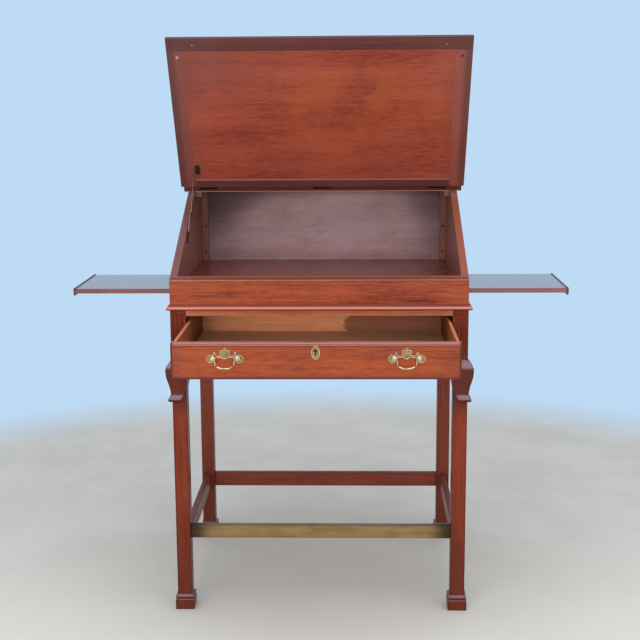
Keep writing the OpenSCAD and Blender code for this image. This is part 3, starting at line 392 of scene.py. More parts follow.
def drawerBackZones(paint, colour, low, high):
    # the back is tan on the left and darker purple-brown to the right, with a painted shadow along its top
    # and its left end
    wear = drawerBackToneAndShadow
    seat = paint.place()
    wavy = (paint.noise(paint.stretched(seat, (1.0, 1.0, 3.0)), 22.0, 5.0, 0.7) - 0.5) * 0.060
    # painted shadow along the top and the left end
    top = paint.part(seat, "Z").rise(high[2], wear["highSpan"])
    left = paint.part(seat, "X").fall(low[0], wear["leftSpan"])
    colour = paint.stainAndLight(top + left, colour, wear["tan"])
    return paint.stainAndLight((paint.part(seat, "X") + wavy).rise(0.0, wear["seam"]), colour, wear["right"])


drawerSideShade = {"dark": (0.105, 0.026, 0.012), "front": 0.65, "rear": 0.30, "rearSpan": (0.0096, 0.4796)}


def drawerSideZones(paint, colour, low, high):
    # painted shade: dark inside, and darker to the rear within the case; the upward top edge keeps its raw
    # orange
    wear = drawerSideShade
    top = paint.facing((0.0, 0.0, 1.0)).between(0.5, 0.9)
    rear = paint.along("Y").rise(low[1], wear["rearSpan"])
    return paint.tint((1.0 - top) * (rear * wear["rear"] + wear["front"]), colour, wear["dark"])


beadSheenAndShade = {
    "skySheen": (0.60, (0.500, 0.210, 0.180)), "topSpan": (-0.0055, -0.0030),
    "dark": (0.75, (0.060, 0.022, 0.018)), "lowSpan": (0.0035, 0.0080), "endSpan": (-0.0087, -0.0037),
}


def beadZones(paint, colour, low, high):
    # the top strip is painted pale as a reflection of the sky, painted shade darkens the bottom and the
    # downward faces, and the ends are darker
    wear = beadSheenAndShade
    height = paint.along("Z")
    colour = paint.stainAndLight(height.rise(high[2], wear["topSpan"]), colour, wear["skySheen"])
    dark = height.fall(low[2], wear["lowSpan"]) + paint.along("X").size().rise(high[0], wear["endSpan"])
    under = paint.facing((0.0, -0.6, -0.8)).between(0.60, 0.95)
    return paint.stainAndLight((dark + under).clamped(), colour, wear["dark"])


frontShadowAndSheen = {
    "border": (0.150, 0.034, 0.018), "ends": 0.42, "low": 0.38,
    "endSpan": (-0.0492, 0.0008), "lowSpan": (0.001, 0.019),
    "quirk": (0.85, (0.110, 0.026, 0.020)), "quirkSpan": (-0.0093, -0.0085),
    "wearAndSheen": (0.70, (0.480, 0.200, 0.170)), "wearAndSheenSpan": (-0.0063, -0.0057),
}


def frontZones(paint, colour, low, high):
    # the drawer front is darker round its border, and its top arris carries a painted highlight over a
    # painted shadow in the quirk
    wear = frontShadowAndSheen
    seat = paint.place()
    height = paint.part(seat, "Z")
    wavy = (paint.noise(paint.stretched(seat, (1.0, 1.0, 4.0)), 9.0, 3.0, 0.6) - 0.5) * 0.020
    ends = (paint.part(seat, "X").size() + wavy).rise(high[0], wear["endSpan"])
    border = ends * wear["ends"] + (height + wavy * 0.4).fall(low[2], wear["lowSpan"]) * wear["low"]
    colour = paint.tint(border.clamped(), colour, wear["border"])
    # painted highlight on the top arris, and painted shadow in the quirk below it
    wearAndSheen = height.rise(high[2], wear["wearAndSheenSpan"])
    quirk = height.rise(high[2], wear["quirkSpan"]) * (1.0 - wearAndSheen)
    return paint.stainAndLight(wearAndSheen, paint.stainAndLight(quirk, colour, wear["quirk"]), wear["wearAndSheen"])


waistShadowAndSheen = {
    "cove": (0.70, (0.120, 0.034, 0.032)), "coveSpan": (0.0095, 0.0115),
    "under": (0.80, (0.070, 0.016, 0.009)), "underSpan": (0.0012, 0.0030),
    "nose": (0.70, (0.640, 0.230, 0.165)), "noseSpan": (0.0035, 0.0052), "noseEnd": (0.0085, 0.0105),
}


def waistZones(paint, colour, low, high):
    # the cove is darker, a painted shadow lies under the nose, and the nose carries a painted highlight
    wear = waistShadowAndSheen
    height = paint.along("Z")
    nose = height.rise(low[2], wear["noseSpan"]) * height.fall(low[2], wear["noseEnd"])
    colour = paint.stainAndLight(height.rise(low[2], wear["coveSpan"]), colour, wear["cove"])
    colour = paint.stainAndLight(height.fall(low[2], wear["underSpan"]), colour, wear["under"])
    return paint.stainAndLight(nose, colour, wear["nose"])


friezeWear = {"arris": (0.55, (0.520, 0.200, 0.120)), "arrisSpan": (0.0008, 0.0024)}


def friezeZones(paint, colour, low, high):
    # the lower arris is rubbed light by the drawer
    arris = paint.along("Z").fall(low[2], friezeWear["arrisSpan"])
    return paint.stainAndLight(arris, colour, friezeWear["arris"])


topWear = {
    "edge": (0.90, (0.078, 0.024, 0.019)), "faces": (0.0, -0.90, -0.43),
    "line": (0.85, (0.480, 0.250, 0.190)), "lineSpan": (0.0012, 0.0026),
}


def topZones(paint, colour, low, high):
    # the edge under the hinges is dark, with a light line along its lower arris
    wear = topWear
    edge = paint.facing(wear["faces"]).between(0.90, 0.97)
    line = paint.along("Z").fall(low[2], wear["lineSpan"]) * edge
    return paint.stainAndLight(line, paint.stainAndLight(edge, colour, wear["edge"]), wear["line"])


sideWear = {
    "left": (0.80, (0.130, 0.050, 0.042)), "right": (0.80, (0.240, 0.062, 0.024)),
    "faces": (0.0, -0.408, 0.913),
}


def sideZones(paint, colour, low, high):
    # the sloping top edges have lost their polish: mauve-brown on the left, warmer on the right
    slope = paint.facing(sideWear["faces"]).between(0.97, 0.99)
    return paint.stainAndLight(slope, colour, sideWear["right" if low[0] > 0 else "left"])


caseFrontWear = {
    "top": (0.92, (0.062, 0.021, 0.016)),
    "rear": (0.70, (0.300, 0.095, 0.040)), "rearSpan": (0.0130, 0.0150),
    "lip": (0.70, (0.420, 0.230, 0.190)), "lipSpan": (0.0025, 0.0045),
}


def caseFrontZones(paint, colour, low, high):
    # the front board's top edge is dark between a worn lip and a worn rear arris
    wear = caseFrontWear
    top = paint.facing((0.0, 0.0, 1.0)).between(0.80, 0.95)
    depth = paint.along("Y")
    colour = paint.stainAndLight(top, colour, wear["top"])
    colour = paint.stainAndLight(depth.rise(low[1], wear["rearSpan"]) * top, colour, wear["rear"])
    return paint.stainAndLight(depth.fall(low[1], wear["lipSpan"]) * top, colour, wear["lip"])


legShadowAndSheen = {
    "low": (0.60, (0.085, 0.020, 0.012)), "lowSpan": (0.05, 0.45),
    "shaded": (0.60, (0.050, 0.018, 0.016)), "shadedSpan": (0.525, 0.585), "shadedEnd": (0.66, 0.72),
    "lip": (0.60, (0.340, 0.240, 0.280)), "lipFaces": (0.0, -0.45, 0.89),
}


def legZones(paint, colour, low, high):
    # the legs darken towards the floor, a painted shadow of the drawer lies across them, and their lips
    # carry a painted reflection of the sky
    wear = legShadowAndSheen
    height = paint.along("Z")
    colour = paint.stainAndLight(height.fall(low[2], wear["lowSpan"]), colour, wear["low"])
    shaded = height.rise(low[2], wear["shadedSpan"]) * height.fall(low[2], wear["shadedEnd"])
    colour = paint.stainAndLight(shaded, colour, wear["shaded"])
    return paint.stainAndLight(paint.facing(wear["lipFaces"]).between(0.45, 0.85), colour, wear["lip"])


mahogany = woodLook((0.262, 0.043, 0.010), spread=0.62, figure=0.34, streak=0.50, fleck=0.80)
friezeWood = woodLook((0.345, 0.106, 0.052), spread=0.50)
beadWood = woodLook((0.270, 0.046, 0.015), coat=0.02, rough=0.60, shine=0.05)
waistWood = woodLook((0.260, 0.044, 0.014), spread=0.60, coat=0.14, rough=0.42, shine=0.15)
topWood = woodLook((0.230, 0.050, 0.028), spread=0.55)
caseWood = woodLook((0.284, 0.052, 0.018), spread=0.74, figure=0.42, streak=0.60)
caseSideWood = woodLook((0.250, 0.084, 0.064))
legWood = woodLook((0.172, 0.029, 0.013), spread=0.60, coat=0.05, shine=0.08, shade=0.75)
rearWood = woodLook((0.172, 0.038, 0.023), coat=0.05, shine=0.08, shade=0.55)
panelWood = woodLook((0.275, 0.053, 0.030), spread=0.60, figure=0.62, streak=0.36, fleck=0.75, rough=0.38)
stileWood = woodLook((0.305, 0.064, 0.044), spread=0.35, rough=0.38, coat=0.35)
railWood = woodLook((0.101, 0.028, 0.025), spread=0.45, rough=0.38, coat=0.35)
hingeRailWood = woodLook((0.112, 0.029, 0.025), spread=0.40, rough=0.40)
# the back's pale purple-grey tone is partly a painted reflection of the sky on its satin polish
backWood = woodLook((0.368, 0.232, 0.240), spread=0.32, streak=0.34, rough=0.50, coat=0.15, wear=0.25)
battenWood = woodLook((0.225, 0.088, 0.064), spread=0.30, rough=0.50, coat=0.10)
wellWood = woodLook((0.158, 0.026, 0.027), rough=0.28, coat=0.34, coatRough=0.10)
slideWood = woodLook((0.160, 0.044, 0.043), spread=0.40, rough=0.16, coat=1.0, coatRough=0.05,
                     shine=0.6, wear=0.30)
# the drawer back's and bottom's pale tones are partly painted light, raised to brighten the drawer's inside
# in the case's shade
tanWood = woodLook((0.760, 0.329, 0.158), spread=0.36, rough=0.60, coat=0.05, shine=0.2, wear=0.25)
bottomWood = woodLook((0.780, 0.450, 0.285), spread=0.36, rough=0.60, coat=0.05, shine=0.2, wear=0.25)
drawerSideWood = woodLook((0.560, 0.190, 0.080), spread=0.42, rough=0.50, coat=0.10, wear=0.6)
coreWood = woodLook((0.240, 0.160, 0.150), spread=0.30, rough=0.50)
oakWood = woodLook((0.300, 0.140, 0.062), rough=0.62, coat=0.04, shine=0.2)
blockWood = woodLook((0.190, 0.120, 0.100), spread=0.30, rough=0.60, coat=0.05)

# each wooden node's look, grain and zones; its place in the list shifts its figure
woodPieces = {
    "leg_front_left": (legWood, "z", legZones), "leg_front_right": (legWood, "z", legZones),
    "leg_rear_left": (rearWood, "z", legZones), "leg_rear_right": (rearWood, "z", legZones),
    "side_aprons": (caseSideWood, "y", None), "back_apron": (caseSideWood, "x", None),
    "frieze_rail": (friezeWood, "x", friezeZones), "drawer_blade": (mahogany, "x", None),
    "drawer_runners": (oakWood, "y", None), "drawer_kickers": (oakWood, "y", None),
    "drawer_stops": (oakWood, "x", None),
    "side_stretchers": (rearWood, "y", None), "back_stretcher": (rearWood, "x", None),
    "footrail_core": (coreWood, "x", None),
    "case_side_left": (caseSideWood, "y", sideZones), "case_side_right": (caseSideWood, "y", sideZones),
    "case_front": (caseWood, "x", caseFrontZones), "case_back": (backWood, "x", backZones),
    "case_bottom": (oakWood, "x", None), "waist_moulding": (waistWood, "x", waistZones),
    "slide_bearers": (oakWood, "x", None), "well_floor": (wellWood, "x", None),
    "rear_battens": (battenWood, "z", None), "top_blocks": (blockWood, "y", None),
    "flat_top": (topWood, "x", topZones),
    "lid_panel": (panelWood, "lidX", panelZones), "lid_front_rail": (railWood, "lidX", None),
    "lid_hinge_rail": (hingeRailWood, "lidX", hingeRailZones),
    "lid_stile_left": (stileWood, "lidY", stileZones), "lid_stile_right": (stileWood, "lidY", stileZones),
    "lid_ledge": (caseSideWood, "lidX", None),
    "slide_left": (slideWood, "y", None), "slide_right": (slideWood, "y", None),
    "slide_left_end": (railWood, "y", None), "slide_right_end": (railWood, "y", None),
    "drawer_front": (mahogany, "x", frontZones), "drawer_bead": (beadWood, "x", beadZones),
    "drawer_sides": (drawerSideWood, "y", drawerSideZones), "drawer_back": (tanWood, "x", drawerBackZones),
    "drawer_bottom": (bottomWood, "x", None),
}
figureStep = 0.37

for count, (name, (look, grain, zones)) in enumerate(woodPieces.items()):
    dress(name, woodPaint(name, look, grain, figureStep * count, zones))
print("wood done:", len(woodPieces), "pieces")


# metal and felt

def metalLook(clean, tarnish, **changes):
    look = {
        "clean": clean,
        "tarnish": tarnish,
        "rough": 0.20,
        "patch": 90.0,        # scale of the tarnished patches
        "dirt": 0.65,
        "arris": 0.0005,
    }
    return {**look, **changes}


def metalPaint(name, look):
    paint = Paint(name)
    seat = paint.place()
    patch = paint.noise(seat, look["patch"], 4.0, 0.6)
    fine = paint.noise(seat, look["patch"] * 7, 3.0, 0.6)
    soft = paint.softEdge(look["arris"])
    wearAndSheen = paint.edgeMask(soft, 2.2)
    dirt = patch.between(0.40, 0.68) * look["dirt"] - wearAndSheen * 0.8
    dirt = (dirt + paint.crevice(0.0025) * 0.85).clamped()
    colour = paint.tint(dirt, look["clean"], look["tarnish"])
    rough = look["rough"] + dirt * 0.26 + (fine - 0.5) * 0.14
    return paint.finish(colour=colour, metal=1.0, rough=rough, normal=paint.bump(fine, 0.12, 0.0002, soft))


reliefLook = {
    "rim": (0.930, 0.730, 0.480),
    "field": (0.520, 0.385, 0.200),
    "shade": (0.300, 0.215, 0.105),
    "crevice": (0.80, (0.060, 0.040, 0.020)),
    "sunkSpan": (-0.0006, 0.0),   # from the rim to the field, from the CAD plate's front
    "rough": 0.24,
    "patch": 120.0,
    "arris": 0.0004,
}


def reliefPaint(name, look, node):
    # cast plates: the rim is rubbed bright and the sunk field keeps its olive patina
    paint = Paint(name)
    seat = paint.place()
    sunk = paint.part(seat, "Y").rise(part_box(node)[0][1], look["sunkSpan"])
    patch = paint.noise(seat, look["patch"], 4.0, 0.6)
    fine = paint.noise(seat, look["patch"] * 7, 3.0, 0.6)
    soft = paint.softEdge(look["arris"])
    olive = paint.tint(patch.between(0.35, 0.65), look["field"], look["shade"])
    rim = paint.tint(fine.between(0.5, 0.8) * 0.4, look["rim"], look["field"])
    colour = paint.stainAndLight(paint.crevice(0.0018), paint.tint(sunk, rim, olive), look["crevice"])
    rough = look["rough"] + sunk * 0.24 + (fine - 0.5) * 0.14
    return paint.finish(colour=colour, metal=1.0, rough=rough, normal=paint.bump(fine, 0.14, 0.0002, soft))


railLook = {
    "worn": (0.425, 0.275, 0.128),
    "dull": (0.220, 0.130, 0.060),
    "end": (0.90, (0.045, 0.026, 0.014)),
    "endSpan": (-0.068, -0.010),
    "rough": 0.44,
    "arris": 0.0012,
}


def railPaint(look):
    paint = Paint("footrailBrassSheet")
    seat = paint.place()
    brushed = paint.noise(paint.stretched(seat, (2.0, 220.0, 220.0)), 2.0, 4.0, 0.65)
    scuff = paint.noise(paint.stretched(seat, (4.0, 16.0, 16.0)), 3.0, 5.0, 0.6)
    ends = paint.part(seat, "X").size().rise(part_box("footrail_brass")[1][0], look["endSpan"])
    mix = (scuff.between(0.35, 0.70) * 0.6 + brushed * 0.35).clamped()
    colour = paint.stainAndLight(ends, paint.tint(mix, look["worn"], look["dull"]), look["end"])
    rough = look["rough"] + (brushed - 0.5) * 0.22 + ends * 0.12
    normal = paint.bump(brushed, 0.20, 0.0003, paint.softEdge(look["arris"]))
    return paint.finish(colour=colour, metal=0.85, rough=rough, normal=normal)


feltLook = {
    "deep": (0.030, 0.018, 0.015),
    "light": (0.085, 0.055, 0.045),
    "bleached": (0.8, (0.36, 0.33, 0.34)),
}


def feltPaint(look):
    paint = Paint("padFelt")
    fuzz = paint.noise(paint.place(), 900.0, 3.0, 0.6)
    left = 1.0 - paint.along("X").between(-0.01, 0.01)  # only the left pad has bleached
    colour = paint.stainAndLight(left, paint.tint(fuzz, look["deep"], look["light"]), look["bleached"])
    return paint.finish(colour=colour, rough=0.95, normal=paint.bump(fuzz, 0.5, 0.0004))


brassLook = metalLook((0.680, 0.520, 0.320), (0.130, 0.088, 0.042))
plateLook = {**brassLook, "clean": (0.560, 0.420, 0.210), "rough": 0.34, "dirt": 0.9}
headLook = {**brassLook, "clean": (0.920, 0.780, 0.560), "rough": 0.17, "dirt": 0.30}
keyReliefLook = {**reliefLook, "rim": (0.780, 0.600, 0.380), "sunkSpan": (-0.00015, 0.0003)}
bronzeLook = metalLook((0.060, 0.046, 0.034), (0.018, 0.014, 0.011), rough=0.42, patch=140.0, dirt=0.9)
steelLook = metalLook((0.190, 0.140, 0.125), (0.080, 0.054, 0.045), rough=0.42, patch=160.0, dirt=0.6)
dullLook = metalLook((0.300, 0.220, 0.160), (0.100, 0.070, 0.050), rough=0.46, patch=160.0, dirt=0.8)

brass = metalPaint("pullBrass", brassLook)
plateBrass = metalPaint("plateBrass", plateLook)
headBrass = metalPaint("headBrass", headLook)
pullRelief = reliefPaint("pullPlateBrass", reliefLook, "pull_plates")
keyRelief = reliefPaint("keyPlateBrass", keyReliefLook, "key_plate")
bronze = metalPaint("hingeBronze", bronzeLook)
armSteel = metalPaint("armSteel", steelLook)
dullScrews = metalPaint("dullScrews", dullLook)
lidScrews = metalPaint("lidScrews", {**dullLook, "clean": (0.460, 0.380, 0.340)})
bracketSteel = metalPaint("bracketSteel", {**bronzeLook, "clean": (0.130, 0.104, 0.092), "dirt": 0.6})
metalPieces = {
    "pull_plates": plateBrass, "pull_posts": headBrass, "bail_left": brass, "bail_right": brass,
    "key_plate": plateBrass, "slide_left_knob": brass, "slide_right_knob": brass, "drawer_lock": plateBrass,
    "lid_screws": lidScrews, "hinge_fixed_leaves": bronze, "hinge_pins": bronze,
    "hinge_lid_leaves": bronze, "stay_side_plate": bronze, "stay_lower_arm": armSteel,
    "stay_upper_arm": armSteel, "stay_lid_bracket": bracketSteel,
    "batten_screws": bronze, "lock_bolt": armSteel,
    "footrail_brass": railPaint(railLook), "lid_bumpers": feltPaint(feltLook),
}
for name, material in metalPieces.items():
    dress(name, material)
print("metal and felt done")


# modelling helpers

def clearSelection():
    if bpy.context.object and bpy.context.object.mode == "EDIT":
        bpy.ops.object.mode_set(mode="OBJECT")
    bpy.ops.object.select_all(action="DESELECT")


def chooseOne(piece):
    clearSelection()
    piece.select_set(True)
    bpy.context.view_layer.objects.active = piece


def editOne(piece):
    chooseOne(piece)
    bpy.ops.object.mode_set(mode="EDIT")


def pickFaces(piece, wanted):
    # wanted gets each face's middle and normal
    bpy.ops.mesh.select_mode(type="FACE")
    bpy.ops.mesh.select_all(action="DESELECT")
    mesh = bmesh.from_edit_mesh(piece.data)
    for face in mesh.faces:
        if wanted(face.calc_center_median(), face.normal):
            face.select_set(True)
    bmesh.update_edit_mesh(piece.data)


def pickPoints(piece, wanted):
    bpy.ops.mesh.select_mode(type="VERT")
    bpy.ops.mesh.select_all(action="DESELECT")
    mesh = bmesh.from_edit_mesh(piece.data)
    for point in mesh.verts:
        if wanted(point.co):
            point.select_set(True)
    mesh.select_flush(True)
    bmesh.update_edit_mesh(piece.data)


def insetPicked(width, depth):
    bpy.ops.mesh.inset(thickness=width, depth=depth, use_even_offset=True)


def mergedCopy(node, name):
    # a CAD node's triangles are loose, so its copy is merged before it is worked on
    piece = bpy.data.objects.new(name, nodes[node].data.copy())
    bpy.context.scene.collection.objects.link(piece)
    editOne(piece)
    bpy.ops.mesh.select_all(action="SELECT")
    bpy.ops.mesh.remove_doubles(threshold=0.00002)
    bpy.ops.mesh.dissolve_limited(angle_limit=math.radians(0.8))
    return piece


def applied(piece, kind, **settings):
    modifier = piece.modifiers.new(kind.title(), kind)
    for key, value in settings.items():
        setattr(modifier, key, value)
    bpy.context.view_layer.objects.active = piece
    bpy.ops.object.modifier_apply(modifier=modifier.name)


def bevelled(piece, width, corner):
    # rounds each edge that turns by more than the corner, in degrees
    bpy.ops.object.mode_set(mode="OBJECT")
    applied(piece, "BEVEL", width=width, segments=2, limit_method="ANGLE",
            angle_limit=math.radians(corner), use_clamp_overlap=True)


def settle(piece, body, material, smooth=35):
    # puts the object at the origin with its place in its mesh, and lets it ride
    chooseOne(piece)
    bpy.ops.object.transform_apply(location=True, rotation=True, scale=True)
    bpy.ops.object.shade_smooth_by_angle(angle=math.radians(smooth))
    piece.data.materials.clear()
    piece.data.materials.append(material)
    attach(piece, body)


# drawer pulls

pullLook = {
    "rise": 0.0008,       # the cast plate's rim stands this far over the sheet
    "rim": 0.0010,
    "slope": 0.0005,
    "sunk": 0.0013,
    "bevel": 0.0003,
    "corner": 50,
}


def modelPlates(look):
    plates = mergedCopy("pull_plates", "pullPlatesCast")
    pickFaces(plates, lambda middle, normal: normal.y < -0.9)
    bpy.ops.transform.translate(value=(0, -look["rise"], 0))
    insetPicked(look["rim"], 0.0)
    insetPicked(look["slope"], -look["sunk"])
    bevelled(plates, look["bevel"], look["corner"])
    return plates


plates = modelPlates(pullLook)
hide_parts("pull_plates")
settle(plates, "drawer", pullRelief)
print("pull plates done:", len(plates.data.polygons), "faces")

bailLook = {
    "half": 0.0227,       # from the bow's middle to its cheek
    "drop": 0.0228,       # from the pins down to the bow's middle
    "pivotOver": 0.0271,  # height of the pins over the CAD bail's lowest point
    "pin": 0.0012,        # radius of the end that turns in the post's head
    "wire": 0.0020,
    "bow": 0.0028,        # radius in the middle of the bow
    "sides": 14,
    # the pin's end and the bend after it, measured out and up from the cheek's top
    "start": ((0.0066, 0, "pin"), (0.0026, 0, "pin"), (0.0022, 0, "wire"),
              (0.0012, -0.0002, "wire"), (0.0004, -0.0010, "wire")),
    "bulge": 0.0005,      # of the cheek
    "cheekSteps": 4,
    "bowSteps": 10,
    "cuspAt": 0.0150,     # a point on the bow's inner side, this far from its middle
    "cusps": ((0.0013, 0.0017), (0.0030, 0.000595)),  # reach and height of its tip and its foot
    "cuspLean": 0.3,
}


def curvePoint(a, b, c, d, t):
    return a * (1 - t) ** 3 + b * 3 * t * (1 - t) ** 2 + c * 3 * t * t * (1 - t) + d * t ** 3


def bailPath(look):
    # from the end of one pin, round the cheek and along the bow to the middle
    half, drop, outer = look["half"], look["drop"], look["half"] + look["bulge"]
    path = [(Vector((half + out, up)), kind) for out, up, kind in look["start"]]
    cheek = Vector((half * 0.97, -0.6 * drop))
    side = (Vector((half, 0)), Vector((outer, -0.2 * drop)), Vector((outer, -0.35 * drop)), cheek)
    for step in range(1, look["cheekSteps"] + 1):
        path.append((curvePoint(*side, 0.15 + 0.85 * step / look["cheekSteps"]), "wire"))
    bow = (cheek, Vector((half * 0.85, -0.9 * drop)), Vector((half * 0.5, -drop)), Vector((0, -drop)))
    for step in range(1, look["bowSteps"] + 1):
        path.append((curvePoint(*bow, step / look["bowSteps"]), "bow"))
    return path


def bailRadii(look, path):
    # the wire thickens smoothly towards the middle of the bow
    bowStart = len(path) - look["bowSteps"]
    radii = []
    for i, (_, kind) in enumerate(path):
        if kind == "bow":
            grown = math.sin((i - bowStart + 1) / look["bowSteps"] * math.pi / 2) ** 2
            radii.append(look["wire"] + (look["bow"] - look["wire"]) * grown)
        else:
            radii.append(look[kind])
    return radii


def modelBail(node, name, look):
    low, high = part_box(node)
    pivot = Vector(((low[0] + high[0]) / 2, (low[1] + high[1]) / 2, low[2] + look["pivotOver"]))
    path = bailPath(look)
    radii = bailRadii(look, path)
    spots = [pivot + Vector((point.x, 0, point.y)) for point, _ in path]
    clearSelection()
    bpy.ops.mesh.primitive_circle_add(vertices=look["sides"], radius=radii[0], fill_type="NGON",
                                      location=spots[0], rotation=(0, math.pi / 2, 0))
    piece = bpy.context.object
    bpy.ops.object.transform_apply(location=True, rotation=True, scale=True)
    editOne(piece)
    bpy.ops.mesh.select_all(action="SELECT")
    inward = Vector((-1, 0))
    for i in range(1, len(path)):
        bpy.ops.mesh.extrude_region_move(TRANSFORM_OT_translate={"value": spots[i] - spots[i - 1]})
        heading = path[i + 1][0] - path[i - 1][0] if i < len(path) - 1 else inward
        last = path[i][0] - path[i - 2][0] if i > 1 else inward
        turn = last.angle_signed(heading)
        bpy.ops.transform.rotate(value=turn, orient_axis="Y", center_override=spots[i])
        size = radii[i] / radii[i - 1]
        bpy.ops.transform.resize(value=(size, size, size), center_override=spots[i])
    bpy.ops.mesh.delete(type="ONLY_FACE")
    lowest, highest = pivot.z - look["drop"] * 0.82, pivot.z - look["drop"] * 0.5
    for reach, height in look["cusps"]:
        pickPoints(piece, lambda point: abs(point.x - pivot.x - look["cuspAt"]) < reach
                   and lowest < point.z < highest)
        bpy.ops.transform.translate(value=(-height * look["cuspLean"], 0, height))
    bpy.ops.object.mode_set(mode="OBJECT")
    bpy.context.scene.cursor.location = (pivot.x, 0, 0)
    bpy.ops.object.origin_set(type="ORIGIN_CURSOR")
    applied(piece, "MIRROR", use_axis=(True, False, False), merge_threshold=0.0002)
    editOne(piece)
    bpy.ops.mesh.select_all(action="SELECT")
    bpy.ops.mesh.normals_make_consistent(inside=False)
    bpy.ops.object.mode_set(mode="OBJECT")
    applied(piece, "SUBSURF", levels=1, render_levels=1)
    piece.name = name
    return piece


bailNames = {"bail_left": ("bailLeftCast", "left_bail"), "bail_right": ("bailRightCast", "right_bail")}
for node, (name, body) in bailNames.items():
    bail = modelBail(node, name, bailLook)
    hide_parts(node)
    settle(bail, body, brass, 60)
print("bails done")


# keyhole plate

keyLook = {
    "rimDeep": 0.0004,            # faces this near to the front are the rim's
    "crown": (0.0006, 0.00025),   # the rim's top: width of its slope and its rise
    "field": (0.0008, 0.0016),    # how deep the field lies
    "groove": 0.0003,
    "ridge": (0.0006, 0.0008),    # slope and rise of the ridge between the rim and the keyhole
    "bevel": 0.0002,
    "corner": 32,
}


def modelKeyPlate(look):
    plate = mergedCopy("key_plate", "keyPlateCast")
    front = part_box("key_plate")[0][1]
    fieldFrom, fieldTo = (front + depth for depth in look["field"])
    pickFaces(plate, lambda middle, normal: normal.y < -0.9 and middle.y < front + look["rimDeep"])
    insetPicked(*look["crown"])
    pickFaces(plate, lambda middle, normal: normal.y < -0.9 and fieldFrom < middle.y < fieldTo)
    insetPicked(look["groove"], 0.0)
    insetPicked(*look["ridge"])
    bevelled(plate, look["bevel"], look["corner"])
    return plate


keyPlate = modelKeyPlate(keyLook)
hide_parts("key_plate")
settle(keyPlate, "drawer", keyRelief, 30)
print("keyhole plate done:", len(keyPlate.data.polygons), "faces")


# screws

screwLook = {
    "radius": 0.0024,
    "rise": 0.0005,
    "slope": 0.30,        # share of the radius that slopes up to the flat
    "slot": 0.0007,
    "deep": 0.0006,
}


def modelScrew(look):
    # one slotted round head, facing +z at the origin
    clearSelection()
    bpy.ops.mesh.primitive_cylinder_add(vertices=20, radius=look["radius"], depth=look["rise"] * 2)
    screw = bpy.context.object
    editOne(screw)
    pickFaces(screw, lambda middle, normal: normal.z > 0.9)
    bpy.ops.mesh.inset(thickness=look["radius"] * look["slope"], depth=look["rise"] * 0.5)
    bpy.ops.object.mode_set(mode="OBJECT")
    bpy.ops.mesh.primitive_cube_add(size=1.0, location=(0, 0, look["rise"] * 1.5))
    cutter = bpy.context.object
    cutter.scale = (look["radius"] * 3, look["slot"], look["deep"] * 2)
    applied(screw, "BOOLEAN", object=cutter, operation="DIFFERENCE", solver="EXACT")
    bpy.data.objects.remove(cutter)
    return screw


def screwsAt(model, name, places, body, material):
    # places: point, outward direction and slot turn of each head
    heads = []
    for point, outward, turn in places:
        head = model.copy()
        head.data = model.data.copy()
        bpy.context.scene.collection.objects.link(head)
        outwardTurn = Vector(outward).to_track_quat("Z", "Y").to_matrix().to_4x4()
        slotTurn = Matrix.Rotation(math.radians(turn), 4, "Z")
        head.matrix_world = Matrix.Translation(point) @ outwardTurn @ slotTurn
        heads.append(head)
    bpy.context.view_layer.update()
    chooseOne(heads[0])
    for head in heads:
        head.select_set(True)
    bpy.ops.object.join()
    heads[0].name = name
    settle(heads[0], body, material, 30)


leafLook = {
    "fromEnd": 0.025,     # from the hinge's end to the leaf's middle
    "apart": 0.016,
    "fromPin": 0.0115,
    "standOff": 0.2,      # share of a head's rise, out from the plane of the pins
    "turnStep": 37,       # slot angles in degrees, from hinge to hinge and from screw to screw
    "sideStep": 576,
}


def leafScrews(look):
    # three heads on each of the lid's three leaves
    lidUp = Vector((0, -math.cos(lidTurn), math.sin(lidTurn)))    # along the raised lid, from its hinge
    lidOut = Vector((0, -math.sin(lidTurn), -math.cos(lidTurn)))  # out of its underside
    low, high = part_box("hinge_pins")
    lift = lidUp * look["fromPin"] + lidOut * screwLook["rise"] * look["standOff"]
    places = []
    for number, x in enumerate((high[0] - look["fromEnd"], 0.0, low[0] + look["fromEnd"])):
        for side in (-1, 0, 1):
            point = Vector((x + side * look["apart"], (low[1] + high[1]) / 2, (low[2] + high[2]) / 2))
            places.append((point + lift, lidOut, look["turnStep"] * number + look["sideStep"] * side))
    return places


stayPlateLook = {
    "thick": 0.0026,
    "screws": ((0.008, 20), (0.021, 75)),  # height over the plate's foot, and slot turn
}


def stayPlateScrews(look):
    low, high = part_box("stay_side_plate")
    return [(Vector((low[0] + look["thick"], (low[1] + high[1]) / 2, low[2] + over)), (1, 0, 0), turn)
            for over, turn in look["screws"]]


screwModel = modelScrew(screwLook)
screwsAt(screwModel, "hingeLeafScrews", leafScrews(leafLook), "lid", dullScrews)
screwsAt(screwModel, "stayPlateScrews", stayPlateScrews(stayPlateLook), "table", dullScrews)
bpy.data.objects.remove(screwModel)
print("screws done")


# floor, light and camera

stageLook = {
    "backdrop": (0.515, 0.708, 0.913),
    "floor": (0.520, 0.490, 0.440),
    "speckle": (0.93, 1.04),   # shares of the floor's colour
    "near": 1.25,              # painted light: the floor's brightness before the desk
    "nearSpan": (-0.9, 1.2),
    "grit": (0.10, (0.30, 0.28, 0.25)),
    "fade": (1.75, 2.45),      # distance at which the floor melts into the backdrop
    "fadeMirrored": (-0.4, 0.6),
    "sky": (0.80, 0.90, 1.0),
    "skyTop": 0.95,            # strengths of the light from above, behind and before the desk
    "skyBack": 0.80,
    "skyFront": 0.42,
    "glossFront": 0.54,        # strength and colour of what the polish mirrors before the desk
    "glossTone": (1.0, 0.95, 0.88),
}


